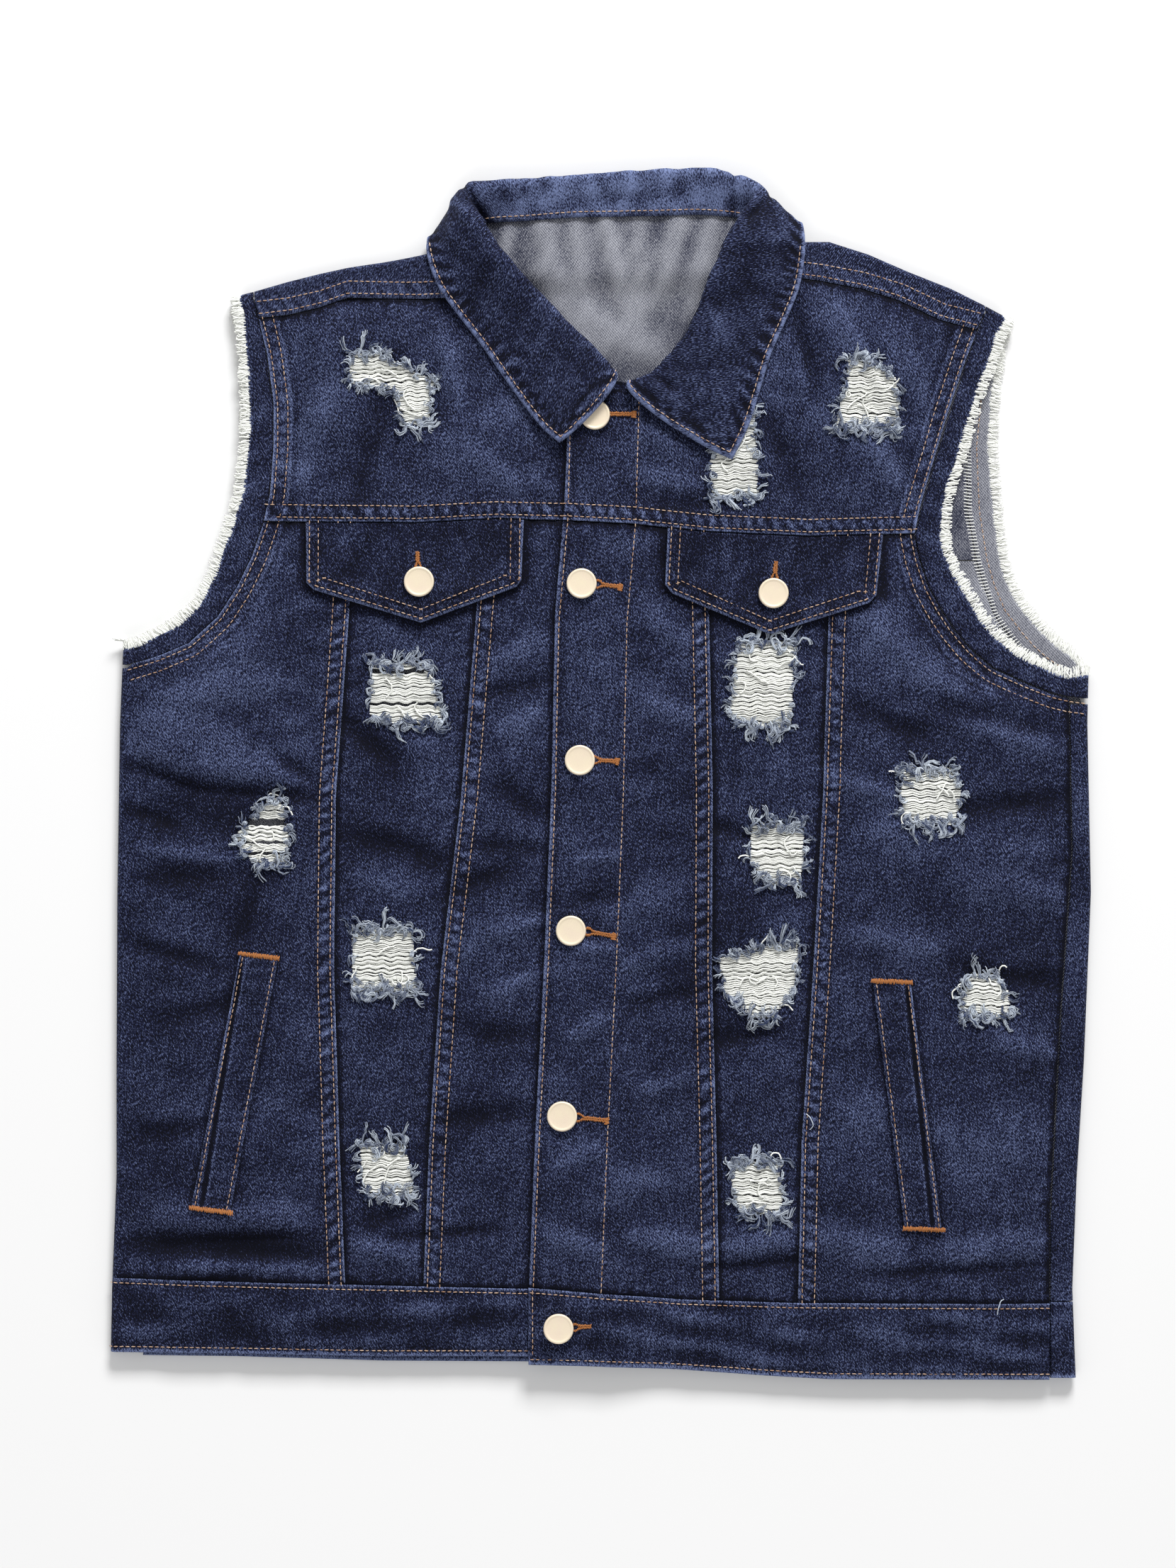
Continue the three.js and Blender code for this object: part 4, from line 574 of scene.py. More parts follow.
# Finer creases of the front, between and beside its soft folds
CREASES = [
    (-275, 7, -226, -8, 4, -1.2), (-226, -8, -161, -14, 5, -1.4), (-270, -19, -240, -30, 4, -1.0),
    (-146, 30, -114, 2, 6, -1.1), (-147, -34, -88, -50, 7, -1.0), (-196, -66, -207, -98, 6, -0.9),
    (-60, -4, -34, -24, 7, -1.1), (-140, -60, -100, -66, 7, 0.7), (-262, 30, -205, 14, 9, 0.8),
    (122, 250, 150, 196, 7, -1.0), (106, 240, 128, 190, 6, 0.8), (150, 240, 176, 196, 8, -0.8),
    (-108, 250, -128, 190, 8, -1.0), (-176, 240, -184, 170, 8, 0.8), (30, 150, 100, 160, 7, -0.6),
    (-184, 10, -160, -6, 4, -1.2), (-268, -96, -214, -110, 5, -0.9), (-250, -140, -196, -128, 6, -0.8),
    (-262, -205, -206, -196, 6, -1.0), (-66, 44, -30, 52, 4, -1.0), (-72, -40, -34, -44, 5, -1.0),
    (-88, -196, -40, -190, 6, -1.0), (60, -30, 96, -38, 5, -1.0), (58, -152, 100, -146, 5, -1.0),
    (190, 40, 250, 22, 6, -1.0), (140, 40, 180, 20, 6, -0.9), (200, -110, 262, -120, 6, -0.9),
    (-230, -262, -170, -262, 3, -1.0), (-120, -262, -60, -258, 3, -1.0), (60, -280, 120, -274, 3, -0.9),
    (150, -284, 240, -278, 3, -0.9), (-255, -290, -200, -284, 4, -0.8),
    (-268, -42, -206, -50, 4, 0.8), (-262, -60, -190, -58, 6, -0.8), (-250, 40, -180, 52, 8, 0.9),
    (-264, -266, -162, -272, 7, -1.4), (-251, -252, -171, -250, 7, 1.3), (-240, -278, -150, -280, 5, 1.0),
    (-140, -268, -104, -274, 6, 1.2), (-136, -252, -108, -250, 5, -0.8),
    (-56, -90, -29, -82, 4, 1.0), (-65, -126, -29, -112, 5, 1.0), (-70, -150, -36, -146, 6, -0.8),
    (-88, -70, -50, -52, 6, -1.0), (-60, 20, -34, 34, 6, 0.9), (-62, 60, -32, 76, 6, 0.7),
    (-16, -50, 10, -46, 3.5, 0.9), (-14, -72, 14, -70, 4, -0.8), (-12, -98, 12, -100, 3.5, 0.8),
    (-20, -150, 6, -138, 5, 0.9), (-26, -222, 0, -212, 5, 0.8), (-30, -262, 4, -270, 6, 0.9),
    (14, -108, 52, -98, 5, 1.1), (16, -130, 50, -124, 4, -0.8), (22, -180, 56, -168, 6, 0.8),
    (18, -262, 62, -268, 7, 1.2), (20, 40, 54, 30, 6, 0.9), (24, 92, 50, 70, 6, 0.8),
    (70, -270, 108, -262, 6, 1.1), (118, -262, 170, -270, 8, 1.2), (190, -272, 250, -266, 8, 1.4),
    (125, -2, 165, -14, 6, 1.0), (200, -60, 262, -74, 7, 1.1), (196, -20, 262, -16, 6, -0.9),
    (205, 30, 262, 10, 8, 1.0), (140, -90, 190, -100, 6, 0.9), (222, -150, 258, -160, 6, 0.9),
    (-180, 130, -196, 90, 5, 0.9), (-160, 205, -172, 160, 6, 0.9), (-130, 190, -136, 156, 6, -0.8),
    (-90, 250, -80, 205, 5, 1.1), (-72, 180, -46, 160, 6, 0.9), (-40, 170, -26, 156, 5, 0.7),
    (132, 262, 160, 214, 4, 1.1), (110, 262, 122, 204, 4, -0.9), (176, 236, 186, 180, 6, 0.9),
    (92, 205, 112, 160, 6, -0.8), (20, 196, 50, 178, 6, 0.8), (24, 168, 58, 160, 6, 0.7),
    (150, 190, 176, 150, 7, 0.9), (-110, 110, -70, 100, 8, 0.6), (60, 70, 92, 60, 6, 0.6),
]
LAP = 2.35
LAP_WIDTH = 36
LAP_FADE = 26
# Rips from the bottom up: y, left and right
RIPS = [
    [(196, -110, -97), (216, -117, -96), (220, -142, -93), (237, -141, -128)],
    [(194, 132, 167), (211, 136, 168), (222, 139, 166), (233, 139, 151)],
    [(154, 63, 88), (176, 62, 88), (203, 75, 86)],
    [(27, -114, -90), (33, -130, -90), (62, -129, -98)],
    [(26, 84, 106), (33, 72, 107), (74.5, 78, 110)],
    [(-53, -193, -178), (-37, -208, -176), (-15, -186, -180)],
    [(-29, 172, 200), (-12, 169, 203), (3, 171, 198)],
    [(-63, 94, 111), (-50, 84, 114), (-29, 85, 114)],
    [(-124, -140, -104), (-88, -140, -107)],
    [(-138, 85, 97), (-122, 69, 109), (-105, 67, 111), (-96, 98, 111)],
    [(-138, 202, 230), (-125, 204, 230), (-113, 208, 221)],
    [(-239, -130, -106), (-231, -134, -106), (-209, -136, -111)],
    [(-249, 80, 102), (-240, 75, 102), (-219, 73, 100)],
]
RIPS = [np.array(rip, float) for rip in RIPS]
stitch_rows = []


# Where the cloth is drawn lighter or darker: x, y, half width, half height, and the change in tone
TONE_PATCHES = [
    (-225, -245, 80, 55, -0.16), (-118, -40, 24, 60, -0.12), (-100, -190, 40, 80, -0.04),
    (52, -90, 30, 90, -0.21), (-230, -60, 60, 80, -0.06), (225, -60, 50, 70, -0.17),
    (160, 190, 50, 60, 0.07), (0, 60, 18, 60, 0.12), (-230, -110, 50, 40, -0.05),
    (150, -250, 90, 50, -0.04), (-65, 10, 25, 60, 0.05), (-130, 225, 60, 35, 0.03),
    (-160, -315, 130, 25, -0.16), (170, -315, 110, 25, 0.04),
]


def patch_tone(x, y):
    return sum(tone_shift * np.exp(-((x - at_x) / wide) ** 2 - ((y - at_y) / high) ** 2)
               for at_x, at_y, wide, high, tone_shift in TONE_PATCHES)


def fold_fade_and_shade(x, y):
    """Paler ridges and darker hollows of the front's folds and creases: painted shade in the hollows, and on
    the ridges painted light with some bleaching of the dye; over random uneven tone.
    """
    soft = 0.05 * ruffle(0.8 * x, 1.25 * y, 78, 9) + 0.05 * ruffle(0.7 * x, 1.4 * y, 34, 12) \
        + 0.05 * ruffle(1.3 * x, 0.5 * y, 9, 15)
    # Painted light on the ridges of the folds and creases, painted shade in their hollows
    crease_light_and_shade = 0.13 * creased(x, y, FOLDS) + 0.5 * creased(x, y, CREASES)
    return np.clip(soft + crease_light_and_shade, -0.8, 0.3) + patch_tone(x, y)


def placket_lift(x, y):
    return LAP * (1 - ease((x - read(DOWN_SEAMS, 3, y) - LAP_WIDTH - 2) / LAP_FADE))


def front_relief(x, y):
    soft = 2.2 * creased(x, y, CREASES) + 0.5 * ruffle(x, y, 58, 3) + 0.26 * ruffle(x, y, 23, 4)
    return soft * inland(x, y, 12)


def on_front(x, y, up, side="left"):
    x, y = np.broadcast_arrays(np.asarray(x, float), np.asarray(y, float))
    lift = placket_lift(x, y) if side == "right" else 0.0
    return lay_cloth(x, y, up + front_relief(x, y), lift)


def inside_rip(x, y):
    found = np.zeros(x.shape, bool)
    for rip in RIPS:
        ragged = 0.5 * np.sin(x * 3.1 + y * 1.7)
        within = (x > read(rip, 1, y) + 0.3 * ragged) & (x < read(rip, 2, y) + 0.3 * ragged)
        found |= within & (y > rip[0, 0] + ragged) & (y < rip[-1, 0] - ragged)
    return found


def felled(inset, along, seed):
    """Height and paleness of a felled band whose folded edge is at inset 0; its stitch rows sink and are
    darkened with painted shade.
    """
    band = ease((10.9 - inset) / 1.3)
    rope = np.sin(2 * math.pi * along / 7.8 + 0.42 * inset + 1.8 * ruffle(along, inset, 46, seed))
    uneven = 2 * ruffle(along, inset, 30, seed + 1)
    rope = rope + 0.5 * np.sin(2 * math.pi * along / 4.3 - 0.3 * inset + uneven)
    rows = peak(inset, 2.3, 1.1) + peak(inset, 9.3, 1.1)
    rise = BAND_RISE * band + 0.24 * rope * band - 0.32 * rows * band - rounded(inset)
    between = peak(inset, 5.8, 2.6)
    wear_and_shade = (0.2 + 0.36 * between) * rope * band + 0.85 * peak(inset, 0, 1.4) + 0.16 * between - 0.3 * rows
    return rise, wear_and_shade


def beside_seam(inset, along, seed):
    """Height and paleness of the panel that goes under a felled band: a painted shadow along the band's edge,
    and puckers painted paler on their crests and darker in their troughs.
    """
    pucker = np.sin(2 * math.pi * along / 8.6 + 2 * ruffle(along, inset, 40, seed)) * np.exp(-inset / 5)
    return 0.2 * pucker - 0.3 * np.exp(-inset / 1.4), 0.25 * pucker - 0.9 * peak(inset, 0, 2.0)


def placket_edge(inset, along):
    """Height and paleness of the placket's folded edge, stitched 2.2 mm in: the row's dip is darkened with
    painted shade, and the cloth is also darker 4.5 mm in.
    """
    lumpy = 0.75 + 0.25 * np.sin(2 * math.pi * along / 6.7 + 2 * ruffle(along, inset, 40, 7))
    row = peak(inset, 2.3, 0.9)
    rise = 0.25 * peak(inset, 0, 2.4) * lumpy - rounded(inset, 1.1) - 0.3 * row
    wear_and_shade = 0.95 * lumpy * peak(inset, 0.6, 1.6) - 0.25 * row \
        - 0.2 * peak(inset, 4.5, 1.5)
    return rise, wear_and_shade


def armhole_band(inset, along):
    """Height and paleness of the allowance stitched down beside an armhole seam: the rows' dips are darkened
    with painted shade, and a painted shadow lies just past the band's edge.
    """
    band = ease((10.5 - inset) / 1.5)
    rope = np.sin(2 * math.pi * along / 8.1 + 1.8 * ruffle(along, inset, 40, 17))
    rows = peak(inset, 2.4, 1.1) + peak(inset, 8.2, 1.1)
    rise = 0.35 * band + 0.18 * rope * band - 0.3 * rows - 0.5 * rounded(inset)
    wear_and_shade = 0.9 * peak(inset, 0, 1.3) + (0.36 * rope + 0.04) * peak(inset, 5.3, 2.4) \
        + 0.3 * peak(inset, 10.3, 1.0) - 0.26 * rows - 0.3 * peak(inset, 12.2, 1.2)
    return rise, wear_and_shade


FELLED_ROWS = (2.3, 9.3)
FRONT_COLUMN = {"left": 1, "right": 2}
PANEL_SPAN = {"left": (-286, 141.5), "right": (-297, 134.5)}
# A flap's sides, then its lower edge by x
FLAPS = [
    (-166.5, -43.5, [-166.5, -162, -101.5, -48, -44], [107.5, 103, 84.5, 104.5, 109]),
    (36, 159, [36, 40, 95, 151, 156], [106, 101, 78, 95.5, 101]),
]
# Slanted pockets: top and bottom y, left and right x at the top and at the bottom, tilt, and the
# slit's place across
WELTS = {
    "left": ((-102, -245), (-203.5, -182), (-231, -209), -3, 0.26),
    "right": ((-117.5, -257), (153, 174.5), (171, 192), -1, 0.76),
}


def seam_at(column, gap=0.0):
    return lambda y: read(DOWN_SEAMS, column, y) + gap


PLACKET = seam_at(3)


def left_start(y):
    return np.where(y <= ARMHOLE_LEFT_Y, read(SIDES, 1, y) + EDGE_RADIUS, read(ARM_FRONT_LEFT, 1, y))


def right_end(y):
    return np.where(y < SIDE_SEAM[-1, 0], read(SIDE_SEAM, 1, y), read(ARM_FRONT_RIGHT, 1, y)) - SEAM_GAP


def panel_ends(x, side):
    return read(WAIST, FRONT_COLUMN[side], x) + SEAM_GAP, read(YOKE_SEAM, 1, x) - SEAM_GAP


def beside_placket(x, y):
    """The shadow on the left half along the placket's edge."""
    return 0.8 * peak(PLACKET(y), x, 2.6) * (x < PLACKET(y) + 1)


def clear_of_rips(x, y):
    return ~inside_rip((x[:-1, :-1] + x[1:, 1:]) / 2, (y[:-1, :-1] + y[1:, 1:]) / 2)


def front_shell(name, x, y, rise, wear_and_shade, side, keep=None, finishes=(denim_face, denim_back), under=-CLOTH):
    outer = on_front(x, y, rise, side)
    inner = on_front(x, y, np.full_like(x, under), side)
    return cloth_shell(name, outer, inner, x, y, wear_and_shade, keep, finishes)


def front_panel(place, side, left, right, bands, seed):
    """A lower panel. A band is True where it laps over, False where it goes under, else None."""
    wrapped = place == "side_front_left"
    low, high = PANEL_SPAN[side]
    rows = spread(low, high, 2.4)[0]
    start, end = left(rows), right(rows)
    x = spread(start, end, 2.2)
    inset_left, inset_right = x - start[:, None], end[:, None] - x
    share = ((rows - low) / (high - low))[:, None]
    bottom, top = panel_ends(x, side)
    y = (1 - share) * bottom + share * top
    rise = np.zeros_like(x)
    wear_and_shade = 0.05 * ruffle(x, y, 44, seed + 5) + 0.04 * ruffle(x, y, 15, seed + 6)
    wear_and_shade = wear_and_shade + fold_fade_and_shade(x, y)
    if side == "left":
        wear_and_shade = wear_and_shade - beside_placket(x, y)
    forms = [placket_edge(inset_left, y)] if left is PLACKET else []
    for inset, banded, k in ((inset_left, bands[0], 0), (inset_right, bands[1], 2)):
        if banded is not None:
            forms.append((felled if banded else beside_seam)(inset, y, seed + k))
    forms += [beside_seam(y - bottom, x, seed + 3), beside_seam(top - y, x, seed + 4)]
    for more, worn_and_shaded in forms:
        rise, wear_and_shade = rise + more, wear_and_shade + worn_and_shaded
    # A painted shadow on the panel round each pocket flap's sides and lower edge
    for flap in FLAPS:
        beyond = np.maximum(np.maximum(flap[0] - x, x - flap[1]), 0)
        below = np.maximum(np.interp(x, flap[2], flap[3]) - y, 0)
        wear_and_shade = wear_and_shade - 0.8 * peak(np.hypot(beyond, below), 0, 3.4)
    if place.startswith("side_front"):
        inset = inset_left / np.hypot(1, np.gradient(start, rows))[:, None] if side == "left" else \
            inset_right / np.hypot(1, np.gradient(end, rows))[:, None]
        more, worn_and_shaded = armhole_band(inset, y + x)
        at_armhole = ease((rows - (58 if side == "left" else 40)) / 5)[:, None]
        rise, wear_and_shade = rise + at_armhole * more, wear_and_shade + at_armhole * worn_and_shaded
    # Painted shade on the panel along the long edges of each pocket welt
    for ends, tops, bottoms, _, _ in WELTS.values():
        fall = (y - ends[0]) / (ends[1] - ends[0])
        near = np.minimum(np.abs(x - tops[0] - fall * (bottoms[0] - tops[0])),
                          np.abs(x - tops[1] - fall * (bottoms[1] - tops[1])))
        wear_and_shade = wear_and_shade - 0.5 * peak(near, 0, 2.2) * ((fall > 0) & (fall < 1))
    if wrapped:
        turn = -np.concatenate([[HALF_TURN + UNDER_REACH, HALF_TURN + 6],
                                np.linspace(1, 0.06, 12) * math.pi * EDGE_RADIUS])
        extra = start[:, None] + turn
        extra_bottom, extra_top = panel_ends(extra, side)
        extra_y = (1 - share) * extra_bottom + share * extra_top
        x, y = np.hstack([extra, x]), np.hstack([extra_y, y])
        rise, wear_and_shade = (np.hstack([np.zeros_like(extra), part]) for part in (rise, wear_and_shade))
    keep = clear_of_rips(x, y)
    if wrapped:
        keep[rows[1:] > ARMHOLE_LEFT_Y, :14] = False
    piece = front_shell("vest_" + place, x, y, rise, wear_and_shade, side, keep)
    for banded, sign, base in ((bands[0], 1, start), (bands[1], -1, end)):
        for off in FELLED_ROWS if banded else ():
            row_x = base + sign * off
            row_bottom, row_top = panel_ends(row_x, side)
            row_y = row_bottom + (rows - low) / (high - low) * (row_top - row_bottom)
            stitch_rows.append(on_front(row_x, row_y, BAND_RISE - 0.1, side))
    lay_as_cloth(piece, place)


front_panel("side_front_left", "left", left_start, seam_at(1), (None, True), 51)
front_panel("mid_front_left", "left", seam_at(1, SEAM_GAP), seam_at(2, -SEAM_GAP), (False, False), 61)
front_panel("centre_front_left", "left", seam_at(2), seam_at(3, LAP_WIDTH), (True, None), 71)
front_panel("centre_front_right", "right", PLACKET, seam_at(4), (None, True), 81)
front_panel("mid_front_right", "right", seam_at(4, SEAM_GAP), seam_at(5, -SEAM_GAP), (False, False), 91)
front_panel("side_front_right", "right", seam_at(5), right_end, (True, False), 101)

# The front's yokes: one piece each side from the chest seam to the shoulder seam and the neckline,
# with the felled band along their lower edge.
NECK_LEFT = np.array([
    (-193.5, 256.5), (-176, 258.5), (-158.5, 262.5), (-143, 268), (-103, 267), (-78, 268),
    (-54, 269.5), (-41, 265), (-22, 247.5), (-6, 234), (5, 222), (17, 219.5),
])
NECK_RIGHT = np.array([
    (-19, 215.5), (15, 216.5), (31, 223), (42, 231), (54, 244.5), (64, 259), (72, 272.5),
    (82, 281), (103, 279.5), (125, 277), (147, 273), (168, 266.5), (191, 255.5), (212.5, 250),
])


def front_yoke(side, neck, arm, low, high, inner_edge, seed):
    rows = spread(low, high, 2.2)[0]
    arm_x = read(arm, 1, rows)
    start, end = (arm_x, inner_edge(rows)) if side == "left" else (inner_edge(rows), arm_x)
    x = spread(start, end, 2.2)
    share = ((rows - low) / (high - low))[:, None]
    top, bottom = read(neck, 1, x) - SEAM_GAP, read(YOKE_SEAM, 1, x) + SEAM_GAP
    y = bottom + share * (top - bottom)
    arm_inset = x - start[:, None] if side == "left" else end[:, None] - x
    rise, wear_and_shade = felled(y - bottom, x, seed)
    for more, worn_and_shaded in (beside_seam(top - y, x, seed + 2), armhole_band(arm_inset, y)):
        rise, wear_and_shade = rise + more, wear_and_shade + worn_and_shaded
    wear_and_shade = wear_and_shade + 0.05 * ruffle(x, y, 46, seed + 5) + 0.04 * ruffle(x, y, 16, seed + 6)
    wear_and_shade = wear_and_shade + fold_fade_and_shade(x, y)
    if side == "right":
        more, worn_and_shaded = placket_edge(x - start[:, None], y)
        rise, wear_and_shade = rise + more, wear_and_shade + worn_and_shaded
    else:
        wear_and_shade = wear_and_shade - beside_placket(x, y)
    piece = front_shell("vest_front_yoke_" + side, x, y, rise, wear_and_shade, side, clear_of_rips(x, y))
    row_x = x[6, 2:-2]
    for off in FELLED_ROWS:
        row_y = read(YOKE_SEAM, 1, row_x) + SEAM_GAP + off
        stitch_rows.append(on_front(row_x, row_y, BAND_RISE - 0.1, side))
    lay_as_cloth(piece, "front_yoke_" + side)


front_yoke("left", NECK_LEFT, ARM_FRONT_LEFT, 141.5, 256.5, seam_at(3, LAP_WIDTH), 111)
front_yoke("right", NECK_RIGHT, ARM_FRONT_RIGHT, 134.5, 250, PLACKET, 121)

# The rows of stitching on the placket's edge and inside it, and beside the armholes and shoulders
for off, low, high in ((2.2, BAND_Y, 215), (40.5, BAND_Y, 212)):
    y = np.linspace(low, high, 260)
    stitch_rows.append(on_front(PLACKET(y) + off, y, 0.12, "right"))
for arm, side, sign in ((ARM_FRONT_LEFT, "left", 1), (ARM_FRONT_RIGHT, "right", -1)):
    fine = np.linspace(0, len(arm) - 1, 160)
    arm_y, arm_x = (np.interp(fine, np.arange(len(arm)), arm[:, k]) for k in (0, 1))
    for _ in range(3):
        for line in (arm_y, arm_x):
            line[1:-1] = (line[:-2] + 2 * line[1:-1] + line[2:]) / 4
    step_x, step_y = np.gradient(arm_x), np.gradient(arm_y)
    length = np.hypot(step_x, step_y)
    for off in (2.4, 8.2):
        row_x = arm_x + sign * off * step_y / length
        row_y = arm_y - sign * off * step_x / length
        stitch_rows.append(on_front(row_x, row_y, 0.2, side))
for station_low, station_high in ((0.1, 7), (15, 20.9)):
    from_x, from_y, to_x, to_y = along_shoulders(np.linspace(station_low, station_high, 90))
    for off in (2.3, 9.2):
        way = off / np.hypot(to_x - from_x, to_y - from_y)
        row_x, row_y = from_x + way * (to_x - from_x), from_y + SEAM_GAP + way * (to_y - from_y)
        stitch_rows.append(np.stack([row_x, row_y, front_height(row_x, row_y) + BAND_RISE + 0.12], -1))

# The waistband: a straight doubled band of the same denim, stitched along both edges. Its right half
# laps over the left one at the placket; its back lies on the table.
WAIST_WALL = 2.2
WAIST_RISE = 0.7
WAIST_LAP = 2.7
BAND_WIDTH = 42
BAND_TOP_ROW = 2.6
BAND_HEM_ROW = 3.2


def band_wear_and_shade(x, below, above, seed):
    ripple = np.sin(2 * math.pi * x / 11 + 2.4 * ruffle(x, below, 60, seed)) \
        + 0.6 * np.sin(2 * math.pi * x / 5.7 + 2 * ruffle(x, below, 33, seed + 1))
    middle = ease(below / 6) * ease(above / 6)
    rows = peak(above, 2.4, 1.1) + peak(below, 3.2, 1.1)
    long_folds = ruffle(x / 2.6, below * 1.4, 24, seed + 2)
    rise = (0.2 * ripple + 0.42 * long_folds) * middle + 0.12 * ripple * rows - 0.25 * rows \
        - rounded(below) - rounded(above)
    # Long folds painted paler on their crests and darker in their hollows, and the stitch rows' dips darkened
    # with painted shade; the ripples and pale edges are abrasion
    wear_and_shade = 0.16 * ripple * (0.4 + rows) + 0.24 * long_folds * middle \
        + 0.6 * peak(above, 0, 1.5) + 1.0 * peak(below, 0, 2.2) - 0.16 * rows
    return rise, wear_and_shade


def band_lift(x, side):
    return 0.0 if side == "left" else WAIST_LAP * (1 - ease((x - 2) / 40))


def front_waistband(side, start, end, seed):
    x = spread(start, end, 2.6)[0]
    if side == "left":
        x = np.concatenate([start - HALF_TURN - np.array([UNDER_REACH, 6]),
                            start - np.linspace(1, 0.06, 12) * math.pi * EDGE_RADIUS, x])
    column = FRONT_COLUMN[side]
    shares = spread(0, BAND_WIDTH, 2.2)[0][:, None] / BAND_WIDTH
    x = np.broadcast_to(x, (len(shares), len(x)))
    bottom, top = read(HEM, column, x), read(WAIST, column, x)
    y = bottom + shares * (top - bottom)
    rise, wear_and_shade = band_wear_and_shade(x, y - bottom, top - y, seed)
    past = x < start
    if side == "right":
        rise, wear_and_shade = rise - rounded(x - start), wear_and_shade + 0.6 * peak(x - start, 0, 1.2)
    rise = np.where(past, 0, rise)
    up = np.where(past, 0, WAIST_RISE) + rise
    under = np.where(past, -WAIST_WALL, WAIST_RISE - WAIST_WALL)
    wear_and_shade = wear_and_shade + patch_tone(x, y)
    lift = band_lift(x, side)
    outer = lay_cloth(x, y, up + np.where(past, 0, 0.6 * front_relief(x, y)), lift)
    inner = lay_cloth(x, y, under, lift)
    piece = cloth_shell("vest_waistband_front_" + side, outer, inner, x, y, wear_and_shade)
    row_x = np.linspace(start + 2 if side == "right" else start - 3, end - 1, 300)
    for off, edge in ((BAND_TOP_ROW, WAIST), (-BAND_HEM_ROW, HEM)):
        row_y = read(edge, column, row_x) - off
        row_up = WAIST_RISE + 0.6 * front_relief(row_x, row_y) - 0.1
        stitch_rows.append(lay_cloth(row_x, row_y, row_up, band_lift(row_x, side)))
    if side == "right":
        row_y = np.linspace(read(HEM, 2, start) + BAND_HEM_ROW, read(WAIST, 2, start) - BAND_TOP_ROW, 40)
        stitch_rows.append(lay_cloth(np.full(40, start + 2.4), row_y, WAIST_RISE - 0.1, WAIST_LAP))
    lay_as_cloth(piece, "waistband_front_" + side)


band_start = float(read(SIDES, 1, -310)) + EDGE_RADIUS
band_end = float(read(SIDE_SEAM, 1, -310)) - SEAM_GAP
front_waistband("left", band_start, -5, 131)
front_waistband("right", -41, band_end, 141)

edge = float(read(SIDES, 2, -320)) - EDGE_RADIUS
far_left = float(read(SIDES, 1, -285)) + EDGE_RADIUS + UNDER_REACH + UNDER_GAP
turned_part = round_right_edge(float(read(SIDE_SEAM, 1, -320)) + SEAM_GAP, edge, 8)
x = np.concatenate([turned_part, np.linspace(edge, far_left, 130)])
shares = spread(0, BAND_WIDTH, 3.5)[0][:, None] / BAND_WIDTH
x = np.broadcast_to(x, (len(shares), len(x)))
bottom, top = read(HEM, 3, x), read(WAIST, 3, x) - SEAM_GAP
y = bottom + shares * (top - bottom)
flat_part = np.broadcast_to(np.arange(x.shape[1]) >= len(turned_part), x.shape)
_, wear_and_shade = band_wear_and_shade(x, y - bottom, top - y, 151)
outer, inner = (np.where(flat_part[..., None], np.stack([x, y, np.full_like(x, wall)], -1),
                         lay_cloth(x, y, -wall)) for wall in (0.0, WAIST_WALL))
band_back = cloth_shell("vest_waistband_back", outer, inner, x, y, wear_and_shade, None, DOUBLED)
lay_as_cloth(band_back, "waistband_back")

